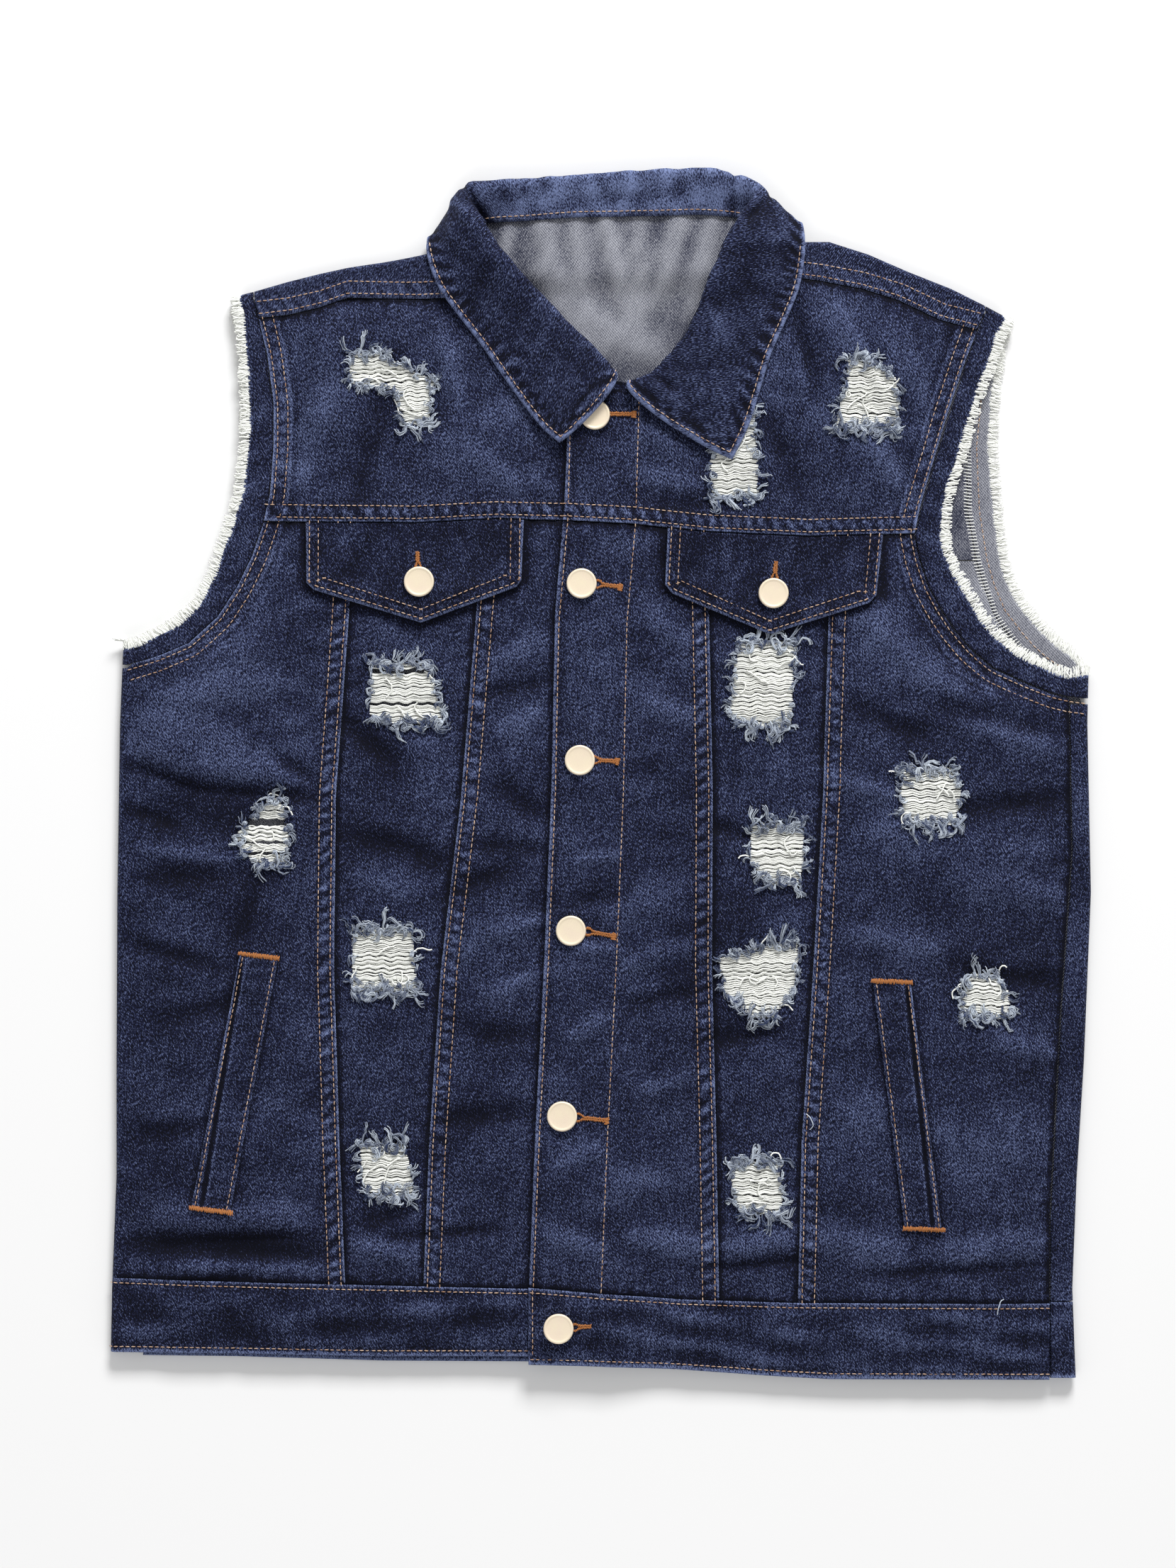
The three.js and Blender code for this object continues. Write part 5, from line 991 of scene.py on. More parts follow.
# Pocket flaps: two layers of denim turned and topstitched twice, caught in the chest seam and held
# down by a button each.
FLAP_TOPS = [(-166.5, -43.5, -166, -45), (37.5, 159, 36, 155)]
FLAP_WALL = 2
FLAP_ROWS = (2.2, 7.2)
FLAP_UNDER = SEAM_GAP + BAND_RISE
for side, flap, tops, seed in (("left", FLAPS[0], FLAP_TOPS[0], 161), ("right", FLAPS[1], FLAP_TOPS[1], 171)):
    across = spread(0, 122, 2)[0] / 122
    fall = (spread(0, 45, 2)[0] / 45)[:, None]
    bottom_x = tops[2] + across * (tops[3] - tops[2])
    top_x = tops[0] + across * (tops[1] - tops[0])
    x = top_x + fall * (bottom_x - top_x)
    top_y = read(YOKE_SEAM, 1, x) - SEAM_GAP
    low_y = np.interp(bottom_x, flap[2], flap[3])
    y = top_y + fall * (low_y - top_y)
    inset_x = np.minimum(across, 1 - across) * (tops[1] - tops[0]) * np.ones_like(x)
    inset_y = (1 - fall) * (top_y - low_y) * 0.94
    inset = np.minimum(inset_x, inset_y)
    rope = np.sin(2 * math.pi * (x + y) / 7.4 + 2 * ruffle(x, y, 40, seed))
    rows = peak(inset, 2.2, 1) + peak(inset, 7.2, 1)
    rise = 0.25 * ruffle(x, y, 30, seed + 1) * ease(inset / 4) + 0.1 * rope * rows - 0.22 * rows \
        - rounded(inset, 0.9)
    rise = rise + 0.5 * ease(inset / 3) * (1 - ease((inset - 9) / 6))
    # The stitch rows' dips are darkened with painted shade; the pale edges and roped border are abrasion
    wear_and_shade = -0.07 + 1.05 * peak(inset, 0, 1.9) + 0.34 * (rope + 0.3) * peak(inset, 4.6, 1.8) \
        + 0.12 * ruffle(x, y, 30, seed + 2) + 0.09 * ruffle(x, y, 12, seed + 3) - 0.26 * rows - 0.14
    piece = front_shell("vest_flap_" + side, x, y, FLAP_UNDER + FLAP_WALL + rise, wear_and_shade, side, None, DOUBLED,
                        FLAP_UNDER)
    lay_as_cloth(piece, "flap_" + side)
    lows = list(zip(flap[2], flap[3]))
    for off in FLAP_ROWS:
        corners = [(tops[0] + off, float(read(YOKE_SEAM, 1, tops[0])) - 0.4),
                   (lows[0][0] + off, lows[0][1] + off * 0.1),
                   (lows[1][0] + off * 0.85, lows[1][1] + off * 0.9), (lows[2][0], lows[2][1] + off * 1.04),
                   (lows[3][0] - off * 0.85, lows[3][1] + off * 0.9),
                   (lows[4][0] - off, lows[4][1] + off * 0.1),
                   (tops[1] - off, float(read(YOKE_SEAM, 1, tops[1])) - 0.4)]
        for (from_x, from_y), (to_x, to_y) in zip(corners, corners[1:]):
            share = np.linspace(0, 1, max(3, int(math.hypot(to_x - from_x, to_y - from_y) / 2)))
            row_x, row_y = from_x + share * (to_x - from_x), from_y + share * (to_y - from_y)
            stitch_rows.append(on_front(row_x, row_y, SEAM_GAP + BAND_RISE + 2.5, side))

# Slanted side pockets: a folded welt beside the slit, stitched down round its edge. The slit leans a
# little against the welt, by its own amount on each side.
WELT_WIDTH = 21.7
WELT_LENGTH = 143
SLIT_LEAN = {"left": -0.18, "right": 0.12}
for side, (ends, tops, bottoms, tilt, slit) in WELTS.items():
    fall = (spread(0, WELT_LENGTH, 2)[0] / WELT_LENGTH)[:, None]
    across = spread(0, 30, 1)[0] / 30
    left, right = (top + fall * (bottom - top) for top, bottom in zip(tops, bottoms))
    x = left + across * (right - left)
    y = ends[0] + fall * (ends[1] - ends[0]) + tilt * across
    inset = np.minimum(np.minimum(across, 1 - across) * WELT_WIDTH,
                       np.minimum(fall, 1 - fall) * WELT_LENGTH)
    from_slit = (across - (slit + SLIT_LEAN[side] * (1 - fall))) * WELT_WIDTH
    groove = peak(from_slit, 0, 1.0) * ease(fall / 0.05) * ease((1 - fall) / 0.03)
    rope = np.sin(2 * math.pi * y / 7.2 + 2 * ruffle(x, y, 40, 181))
    rise = 0.12 * rope - rounded(inset, 0.6) - 1.1 * groove
    # The slit's groove is darkened with painted shade
    wear_and_shade = 0.45 * peak(inset, 0, 1) + 0.1 * rope + 0.12 * ruffle(x, y, 24, 182) - 1.5 * groove - 0.08 \
        + 0.5 * peak(np.abs(from_slit), 2.1, 0.7)
    piece = front_shell("vest_welt_" + side, x, y, 0.9 + 1.4 + rise - 0.5, wear_and_shade, side, None, DOUBLED, 0.3)
    lay_as_cloth(piece, "welt_" + side)
    for place in (0.09, 0.91):
        row = np.linspace(0.02, 0.98, 90)
        row_x = tops[0] + row * (bottoms[0] - tops[0]) + place * WELT_WIDTH
        row_y = ends[0] + row * (ends[1] - ends[0]) + tilt * place
        stitch_rows.append(on_front(row_x, row_y, 1.85, side))

# The collar: one fall of doubled denim that stands from the neck seam, rolls over all round and ends
# in two points on the front. At the back only its stand shows, with the fall under the yoke.
# Station by station: on the front or not, seam x y up, roll x y up, edge x y up, outward, turn, bend
COLLAR_WALL = 2.2
COLLAR = [
    (1, 5, 219, 1.5, 8.5, 223, 3.6, -23.5, 185.5, 6, 230, 85, 6),
    (1, -7, 231, 1.5, -3, 237, 4, -35, 196, 3.5, 234, 80, 5),
    (1, -23.5, 245, 1.5, -17.5, 251, 4.8, -52, 218.5, 1.8, 225, 75, 5),
    (1, -42.5, 261, 1.5, -34.5, 268.5, 5.5, -67, 240, 1.8, 221, 70, 5),
    (1, -61, 277, 2.5, -52, 288, 7, -82, 259.5, 2.2, 218, 62, 6),
    (1, -70, 290, 1.8, -62, 300, 9, -92, 274, 2.4, 215, 45, 7),
    (0, -70, 302, 12, -70, 313, 18, -98, 291, 10, 195, 20, 8),
    (0, -66, 308, 7.5, -76, 324, 14, -97, 301, 3.6, 150, -30, 8),
    (0, -62, 310.5, 6.5, -74, 332, 9, -88, 292, 1.25, 110, -75, 8),
    (0, -43, 311.5, 6.3, -43, 334.5, 7, -50, 290.5, 1.2, 95, -90, 5.8),
    (0, -17, 313.5, 6.3, -16, 336.5, 6.6, -18, 290.5, 1.2, 92, -90, 5.4),
    (0, 9, 314, 6.3, 9, 338, 6.6, 9, 291, 1.2, 90, -90, 5.4),
    (0, 33, 314.5, 6.3, 35, 339.5, 6.6, 38, 291.5, 1.2, 88, -90, 5.4),
    (0, 57, 315, 6.3, 62, 340, 7, 66, 293.5, 1.2, 84, -90, 5.8),
    (0, 79, 313, 6.5, 86, 333, 9, 104, 296, 1.25, 65, -75, 8),
    (0, 87, 309, 7.5, 88, 325, 14, 113, 309, 5, 30, -30, 8),
    (0, 89, 302, 12, 80, 313, 18, 115, 298, 11, -15, 20, 8),
    (1, 83, 290, 1.8, 71.5, 299, 9, 114, 285, 2, -15, 45, 7),
    (1, 74.5, 274.5, 1.5, 62.5, 279, 7, 111, 271, 1.8, -10, 62, 6),
    (1, 65.5, 258, 1.5, 54.5, 260, 5.5, 103.5, 253, 1.8, -9, 70, 5),
    (1, 55, 242.5, 1.5, 46.5, 244.5, 4.8, 95.5, 235, 1.8, -10, 75, 5),
    (1, 43.5, 229, 1.5, 36.5, 232, 4.2, 89, 213.5, 1.8, -19, 78, 5),
    (1, 32.5, 220.8, 1.5, 27, 223.5, 3.8, 83, 195, 1.8, -27, 80, 5),
    (1, 20, 215.5, 1.5, 14.5, 219, 3.5, 74, 176.5, 1.8, -36, 85, 5),
]

COLLAR_CREASES = [
    (-62, 308, -80, 334, 1.9, -1.9), (-68, 303, -86, 326, 2.6, 0.9), (74, 312, 75, 344, 1.9, -1.9),
    (82, 310, 98, 328, 2.2, -1.2), (68, 316, 66, 340, 2.6, 0.8), (24, 228, 42, 214, 2.2, -1.2),
    (30, 220, 46, 205, 2.8, 1.0), (20, 214, 36, 206, 2.2, -1.0), (60, 262, 70, 240, 3.5, 0.9),
    (78, 280, 100, 262, 4, -0.8), (-30, 246, -48, 226, 4, 0.8), (-64, 286, -78, 262, 4, -0.7),
    (-40, 232, -54, 240, 3, -0.7), (66, 206, 84, 214, 4, 0.7), (-40, 318, -42, 334, 2.6, 0.5),
    (-12, 318, -10, 336, 2.2, -0.5), (14, 318, 16, 338, 3, 0.5), (40, 318, 42, 340, 2.4, -0.5),
]


def smooth_between(values, at):
    """Catmull-Rom through rows of values at whole numbers."""
    values = np.asarray(values, float)
    i = np.clip(np.floor(at).astype(int), 0, len(values) - 2)
    t = (at - i)[:, None]
    a, b = values[np.clip(i - 1, 0, None)], values[i]
    c, d = values[i + 1], values[np.clip(i + 2, None, len(values) - 1)]
    return 0.5 * (2 * b + (c - a) * t + (2 * a - 5 * b + 4 * c - d) * t ** 2
                  + (3 * b - a - 3 * c + d) * t ** 3)


station_facts = []
for on_top, sx, sy, s_up, rx, ry, r_up, ex, ey, e_up, outward, turn, bend in COLLAR:
    def base_at(px, py):
        return float(front_height(px, py) + (placket_lift(px, py) if px > 0 else 0)) if on_top else 0.0
    station_facts.append((sx, sy, base_at(sx, sy) + s_up, rx, ry, base_at(sx, sy) + r_up,
                          ex, ey, base_at(ex, ey) + e_up, outward, turn, bend))
fine = np.concatenate([[0, 0.02, 0.05, 0.1, 0.17], np.linspace(0.27, len(COLLAR) - 1.27, 176),
                       len(COLLAR) - 1 - np.array([0.17, 0.1, 0.05, 0.02, 0])])
facts = smooth_between(station_facts, fine)
seam, roll, edge = facts[:, 0:3], facts[:, 3:6], facts[:, 6:9]
outward, turn, bend = np.radians(facts[:, 9]), np.radians(facts[:, 10]), facts[:, 11:12]
over = np.stack([np.cos(turn) * np.cos(outward), np.cos(turn) * np.sin(outward), np.sin(turn)], 1)
leave, arrive = 0.4 * (roll - seam) * (1, 1, 0), 0.4 * (edge - roll) * (1, 1, 0)
before = -over * np.minimum(bend, 0.4 * np.linalg.norm(roll - seam, axis=1, keepdims=True))
after = over * bend


def bezier(a, b, c, d, t):
    return (1 - t) ** 3 * a + 3 * (1 - t) ** 2 * t * b + 3 * (1 - t) * t ** 2 * c + t ** 3 * d


sections = [bezier(seam, seam + leave, roll + before, roll, t) for t in np.linspace(0, 0.96, 16)]
falls = np.concatenate([np.linspace(0, 0.9, 34), [0.92, 0.94, 0.955, 0.968, 0.98, 0.988, 0.994, 0.998, 1]])
sections += [bezier(roll, roll + after, edge - arrive, edge, t) for t in falls]
middle = np.stack(sections, 1)
# The fronts' edges are cut with a slight belly
for front_end, bulge, way in ((fine, 3.8, (0.76, -0.65, 0)),
                              (len(COLLAR) - 1 - fine, 5.4, (-0.58, -0.81, 0))):
    reach = ease(1 - front_end / 0.9)[:, None, None]
    shape = np.concatenate([np.zeros(16), np.sin(math.pi * falls) ** 0.8])[None, :, None]
    middle = middle + bulge * reach * shape * np.array(way)
along_step = np.gradient(middle, axis=0)
down_step = np.gradient(middle, axis=1)
normal = np.cross(along_step, down_step)
normal /= np.linalg.norm(normal, axis=2, keepdims=True) + 1e-9
down = np.concatenate([np.zeros((len(fine), 1)),
                       np.cumsum(np.linalg.norm(np.diff(middle, axis=1), axis=2), axis=1)], 1)
mid_column = 16 + 20
along = np.concatenate([[0], np.cumsum(np.linalg.norm(np.diff(middle[:, mid_column], axis=0), axis=1))])
along = np.repeat(along[:, None], middle.shape[1], 1)
to_edge = down[:, -1:] - down
to_front = np.minimum(along, along[-1:] - along)
inset = np.minimum(to_edge, to_front)
rope = np.sin(2 * math.pi * (along + 0.4 * to_edge) / 7.7 + 2.2 * ruffle(along, to_edge, 44, 191))
lumps = 0.32 * ruffle(along, down, 26, 192) + 0.2 * ruffle(along, down, 12, 193)
stitched = np.exp(-((inset - 3.3) / 1.2) ** 2)
puff = ease(inset / 8) * ease(down / 6)
folded = creased(middle[..., 0], middle[..., 1], COLLAR_CREASES) * (np.arange(middle.shape[1]) < 48)
lift = lumps * puff + folded + 0.36 * rope * np.exp(-((inset - 4.5) / 5) ** 2) - 0.3 * stitched \
    + 0.45 * ease(inset / 1.5) * (1 - ease((inset - 2.4) / 3))
half = COLLAR_WALL / 2 - rounded(inset, 1.0) * 0.9
# On which side of the middle surface the cloth shows: the fall's face is the right side
outer = middle + normal * half[..., None]
inner = middle - normal * half[..., None]
shown = -1 if (normal[4, mid_column, 2] < 0) else 1
if shown > 0:
    outer = outer + normal * lift[..., None]
else:
    inner = inner - normal * lift[..., None]
for layer in (outer, inner):
    layer[..., 2] = np.maximum(layer[..., 2], 0.05)
# The stitch row's dip is darkened with painted shade, and the lumps are painted paler on their crests and
# darker in their dips; the pale edges and roping are abrasion
wear_and_shade = 1.3 * (1 + 0.35 * rope) * np.exp(-(inset / 2.8) ** 2) \
    + 0.75 * (rope - 0.25) * np.exp(-((inset - 6.5) / 4.5) ** 2) \
    + 0.4 * lumps * puff + 0.03 * ruffle(along, down, 50, 194) - 0.4 * stitched - 0.06 \
    + 0.1 * np.exp(-((np.arange(middle.shape[1]) - 16) / 4.0) ** 2)[None, :]
stand = np.exp(-((fine - 11.5) / 3.4) ** 6)[:, None]
uneven = 1 + 0.4 * ruffle(along, down, 15, 195)
wear_and_shade = wear_and_shade + 0.68 * stand * uneven * (np.arange(middle.shape[1]) < 26)[None, :]
# The collar's creases painted paler on their crests and darker in their hollows
wear_and_shade = wear_and_shade + np.clip(0.3 * folded, -0.45, 0.3)
collar = cloth_shell("vest_collar", outer, inner, along, down, wear_and_shade, None, DOUBLED)
lay_as_cloth(collar, "collar")


def row_down(at):
    """Points of the collar's face where the length down from the seam is at, station by station."""
    return np.array([[np.interp(at[i], down[i], face[i, :, k]) for k in range(3)] for i in range(len(fine))])


face = outer if shown > 0 else inner
columns = np.arange(face.shape[1])
ROLL_COLUMN = 16
COLLAR_ROW = 3.3
ABOVE_CLOTH = (0, 0, 0.15)
edge_row = row_down(down[:, -1] - COLLAR_ROW)
inside = (along[:, 0] > COLLAR_ROW) & (along[:, 0] < along[-1, 0] - COLLAR_ROW)
for part in (fine < 6.4, fine > 16.2):
    stitch_rows.append(edge_row[part & inside] + ABOVE_CLOTH)
for end, at in ((0, COLLAR_ROW), (-1, along[-1, 0] - COLLAR_ROW)):
    fall_columns = columns[ROLL_COLUMN + 1:]
    row = np.array([[np.interp(at, along[:, j], face[:, j, k]) for k in range(3)] for j in fall_columns])
    stitch_rows.append(row[(down[end, -1] - down[end])[fall_columns] > COLLAR_ROW] + ABOVE_CLOTH)
seam_row = row_down(np.full(len(fine), 3.0))
stitch_rows.append(seam_row[(fine > 6.2) & (fine < 16.4)] + ABOVE_CLOTH)

# What is left of the sleeves: narrow strips of denim outside the armhole seams, cut off and left raw.
# At the shoulders the front strips turn over the fold and under.
def turn_over(x, fold_y, angle, depth):
    reach = EDGE_RADIUS - depth
    return np.array([x, fold_y - EDGE_RADIUS + reach * math.sin(angle),
                     EDGE_RADIUS + reach * math.cos(angle)])


def stub_stations(arm, layer, edge_side, fold):
    stations = []
    if edge_side:
        y, x, raw_x, raw_y = arm[0]
        for share in (1, 0.66, 0.33):
            shift = edge_side * share * math.pi * EDGE_RADIUS
            stations.append((layer, x + shift, y, raw_x + shift, raw_y, 0))
    stations += [(layer, x, y, raw_x, raw_y, 0) for y, x, raw_x, raw_y in arm]
    if fold:
        stations += [("fold", *fold, math.radians(angle)) for angle in (0, 45, 90, 135, 178)]
    return stations


def stub_point(station, share, depth):
    layer, x, y, raw_x, raw_y, angle = station
    reach = math.hypot(raw_x - x, raw_y - y)
    part = ARMHOLE_GAP / reach + share * (1 - ARMHOLE_GAP / reach)
    px, py = x + part * (raw_x - x), y + part * (raw_y - y)
    if layer == "fold":
        return turn_over(px, py, angle, depth)
    if layer == "floor":
        return np.array([px, py, CLOTH - depth])
    return lay_cloth(np.array(px), np.array(py), -depth)


def stub_row(stations, share, depth, parts=7):
    row = []
    for first, second in zip(stations, stations[1:]):
        for k in range(parts):
            t = k / parts
            if first[0] == second[0] != "fold":
                between = (first[0], *[first[n] + t * (second[n] - first[n]) for n in range(1, 6)])
                row.append(stub_point(between, share, depth))
            else:
                row.append((1 - t) * stub_point(first, share, depth) + t * stub_point(second, share, depth))
    row.append(stub_point(stations[-1], share, depth))
    return np.array(row)


STUBS = {
    "front_left": stub_stations(ARM_FRONT_LEFT, "front", -1, (-196, 272, -204, 270)),
    "front_right": stub_stations(ARM_FRONT_RIGHT, "front", 1, (217, 264, 228, 258)),
    "back_left": stub_stations(ARM_BACK_LEFT, "floor", 0, None),
    "back_right": stub_stations(ARM_BACK_RIGHT, "floor", 0, None),
}
for key, stations in STUBS.items():
    shares = np.concatenate([[0, 0.03, 0.08, 0.16], np.linspace(0.28, 1, 8)])
    outer = np.stack([stub_row(stations, share, 0.0) for share in shares], 1)
    inner = np.stack([stub_row(stations, share, CLOTH) for share in shares], 1)
    run = np.concatenate([[0], np.cumsum(np.linalg.norm(np.diff(outer[:, 0], axis=0), axis=1))])[:, None]
    across = np.linalg.norm(outer - outer[:, :1], axis=2)
    wear_and_shade = 0.12 * ruffle(run, across, 22, 201) + 0.5 * ease((shares - 0.84) / 0.16)
    # Painted shade along the armhole seam
    wear_and_shade = wear_and_shade - 0.25 * np.exp(-across / 1.5)
    on_top = key.startswith("front")
    if on_top:
        outer[..., 2] += 0.12 * np.sin(run / 5) * ease(across / 3)
    piece = cloth_shell("vest_sleeve_stub_" + key, outer, inner, outer[..., 0], outer[..., 1], wear_and_shade, None,
                        (denim_face, denim_back) if on_top else (denim_back, denim_face))
    piece["cut_width"], piece["cut_length"] = float(run[-1, 0]) / 1000, float(across[:, -1].mean()) / 1000
    lay_as_cloth(piece, "sleeve_stub_" + key)
stitch_rows.append(stub_row(STUBS["back_right"], 0.45, 0.0, 9)[14:-4] + ABOVE_CLOTH)

# Buttons: six on the placket and one on each flap, stamped discs of matt champagne metal with a
# rounded rim, held by a shank through the cloth.
PLACKET_BUTTONS = [(-3.5, 201.5), (-11, 106.5), (-12, 7), (-17, -89), (-22, -193.5)]
WAIST_BUTTON = (-24, -313)
FLAP_BUTTONS = [("left", -102.5, 107.5), ("right", 97, 101)]
BUTTON_PROFILE = [(1.8, 0), (7.2, 0.02), (7.9, 0.3), (8.35, 0.8), (8.5, 1.35), (8.42, 1.85), (8.12, 2.25),
                  (7.75, 2.42), (7.35, 2.36), (6.9, 2.12), (6.2, 2.02), (3.5, 1.98), (0.001, 1.96)]
def object_noise(tree, scale, detail):
    place = node(tree, "ShaderNodeTexCoord").outputs["Object"]
    inputs = {"Vector": place, "Scale": scale, "Detail": detail}
    return node(tree, "ShaderNodeTexNoise", inputs).outputs["Fac"]


metal = plain_finish("matt_champagne_metal", srgb(252, 238, 206), 0.45, 0.15)
tree = metal.node_tree
brushed = object_noise(tree, 900, 3)
tint = blend(tree, object_noise(tree, 160, 2), srgb(253, 240, 208), srgb(248, 228, 208))
bumped = node(tree, "ShaderNodeBump", {"Height": brushed, "Strength": 0.08, "Distance": 0.0001})
shader = tree.nodes["Principled BSDF"]
tree.links.new(tint, shader.inputs["Base Color"])
tree.links.new(from_to(tree, brushed, 0.0, 1.0, 0.36, 0.52), shader.inputs["Roughness"])
tree.links.new(bumped.outputs[0], shader.inputs["Normal"])


def placket_top(x, y):
    return front_height(x, y) + placket_lift(x, y)


def waistband_top(x, y):
    return front_height(x, y) + WAIST_RISE + WAIST_LAP


def flap_top_left(x, y):
    return front_height(x, y) + SEAM_GAP + BAND_RISE + FLAP_WALL


def flap_top_right(x, y):
    return placket_top(x, y) + SEAM_GAP + BAND_RISE + FLAP_WALL


FLAP_TOP = {"left": flap_top_left, "right": flap_top_right}


def button_seat(x, y, surface):
    """The height at which a button clears the cloth all round."""
    around = [(x + 8 * math.cos(k * math.pi / 4), y + 8 * math.sin(k * math.pi / 4)) for k in range(8)]
    return max(float(surface(*place)) for place in [(x, y), *around]) + 0.3


def button(place, x, y, seat, shank):
    profile = [(0.001, -shank), (1.8, -shank)] + BUTTON_PROFILE
    turns = 56
    points = [((x + r * math.cos(2 * math.pi * k / turns) + SHIFT[0]) / 1000,
               (y + r * math.sin(2 * math.pi * k / turns) + SHIFT[1]) / 1000, (seat + h) / 1000)
              for r, h in profile for k in range(turns)]
    faces = [(ring + k, ring + (k + 1) % turns, ring + turns + (k + 1) % turns, ring + turns + k)
             for ring in range(0, (len(profile) - 1) * turns, turns) for k in range(turns)]
    last_ring = (len(profile) - 1) * turns
    ends = [tuple(range(turns))[::-1], tuple(last_ring + k for k in range(turns))]
    piece = mesh_piece("vest_" + place, points, faces + ends, [metal])
    piece.data.polygons.foreach_set("use_smooth", [True] * len(piece.data.polygons))
    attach(piece, "root")
    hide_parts(place)


for number, (x, y) in enumerate(PLACKET_BUTTONS):
    seat = button_seat(x, y, placket_top)
    button(f"button_{number + 1}", x, y, seat, seat - float(front_height(x, y)) - 0.25)
seat = button_seat(*WAIST_BUTTON, waistband_top)
button("button_6", *WAIST_BUTTON, seat, seat - float(front_height(*WAIST_BUTTON)) - WAIST_RISE - 0.25)
for side, x, y in FLAP_BUTTONS:
    seat = button_seat(x, y, FLAP_TOP[side])
    button("flap_button_" + side, x, y, seat, seat - float(front_height(x, y)) - 0.5)

# Topstitching: tan cotton thread, a stitch every 3.3 mm along each row, sunk a little in the denim.
thread_finish = plain_finish("tan_topstitch_thread", srgb(190, 138, 100), 0.75)
tree = thread_finish.node_tree
varied = from_to(tree, object_noise(tree, 130, 3), 0.3, 0.7)
tree.links.new(blend(tree, varied, srgb(160, 120, 92), srgb(220, 192, 168)),
               tree.nodes["Principled BSDF"].inputs["Base Color"])


def geometry_tree(name, inputs):
    tree = bpy.data.node_groups.new(name, "GeometryNodeTree")
    tree.interface.new_socket(name="Geometry", in_out="INPUT", socket_type="NodeSocketGeometry")
    for label, kind in inputs:
        tree.interface.new_socket(name=label, in_out="INPUT", socket_type="NodeSocket" + kind)
    tree.interface.new_socket(name="Geometry", in_out="OUTPUT", socket_type="NodeSocketGeometry")
    return tree, tree.nodes.new("NodeGroupInput"), tree.nodes.new("NodeGroupOutput")


def made_real(tree, geometry, material, done):
    """Ends a tree: plain mesh, shaded smooth, in its material."""
    real = node(tree, "GeometryNodeRealizeInstances", {"Geometry": geometry})
    smooth = node(tree, "GeometryNodeSetShadeSmooth", {"Geometry": real.outputs[0]})
    dyed = node(tree, "GeometryNodeSetMaterial", {"Geometry": smooth.outputs[0], "Material": material})
    tree.links.new(dyed.outputs[0], done.inputs[0])


sewing, given, done = geometry_tree("stitches_along_rows", [
    ("Pitch", "Float"), ("Stitch Length", "Float"), ("Thread Width", "Float"), ("Unevenness", "Float"),
    ("Seed", "Int"), ("Thread", "Material")])
rows_as_curves = node(sewing, "GeometryNodeMeshToCurve", {"Mesh": given.outputs["Geometry"]})
places = node(sewing, "GeometryNodeCurveToPoints", {"Curve": rows_as_curves.outputs[0],
                                                    "Length": given.outputs["Pitch"]}, mode="LENGTH")
tilt = node(sewing, "FunctionNodeRandomValue", {"Seed": given.outputs["Seed"]}, data_type="FLOAT_VECTOR")
tilt.inputs[0].default_value, tilt.inputs[1].default_value = (-1, -1, -1), (1, 1, 1)
uneven = node(sewing, "ShaderNodeVectorMath", {0: tilt.outputs[0]}, operation="SCALE")
sewing.links.new(given.outputs["Unevenness"], uneven.inputs["Scale"])
direction = node(sewing, "ShaderNodeVectorMath", {0: places.outputs["Tangent"], 1: uneven.outputs[0]},
                 operation="ADD")
facing = node(sewing, "FunctionNodeAlignRotationToVector", {"Vector": direction.outputs[0]}, axis="X")
ball = node(sewing, "GeometryNodeMeshUVSphere", {"Segments": 5, "Rings": 4, "Radius": 0.5})
thread_width = given.outputs["Thread Width"]
size = node(sewing, "ShaderNodeCombineXYZ", {
    0: thread_width, 1: thread_width, 2: given.outputs["Stitch Length"]})
stitch = node(sewing, "GeometryNodeTransform", {"Geometry": ball.outputs[0], "Rotation": (0, math.pi / 2, 0),
                                                "Scale": size.outputs[0]})
sewn = node(sewing, "GeometryNodeInstanceOnPoints", {
    "Points": places.outputs[0], "Instance": stitch.outputs[0], "Rotation": facing.outputs[0]})
made_real(sewing, sewn.outputs[0], given.outputs["Thread"], done)


def grow(name, rows, tree, values, girth=None, tint=None):
    points, edges, counts = [], [], []
    for row in rows:
        edges += [(len(points) + k, len(points) + k + 1) for k in range(len(row) - 1)]
        points += ((np.asarray(row) + SHIFT) / 1000).tolist()
        counts.append(len(row))
    mesh = bpy.data.meshes.new(name)
    mesh.from_pydata(points, edges, [])
    for label, by_row in (("girth", girth), ("tint", tint)):
        if by_row is not None:
            data = np.concatenate([np.broadcast_to(v, n) for v, n in zip(by_row, counts)])
            mesh.attributes.new(label, "FLOAT", "POINT").data.foreach_set("value", data.astype(np.float32))
    piece = bpy.data.objects.new(name, mesh)
    bpy.context.scene.collection.objects.link(piece)
    modifier = piece.modifiers.new(name, "NODES")
    modifier.node_group = tree
    for item in tree.interface.items_tree:
        if item.in_out == "INPUT" and item.name in values:
            modifier[item.identifier] = values[item.name]
    graph = bpy.context.evaluated_depsgraph_get()
    grown = bpy.data.meshes.new_from_object(piece.evaluated_get(graph), preserve_all_data_layers=True,
                                            depsgraph=graph)
    piece.modifiers.clear()
    piece.data = grown
    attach(piece, "root")
    return piece


grow("vest_topstitching", stitch_rows, sewing, {
    "Pitch": 0.0033, "Stitch Length": 0.0026, "Thread Width": 0.00066, "Unevenness": 0.1, "Seed": 5,
    "Thread": thread_finish})

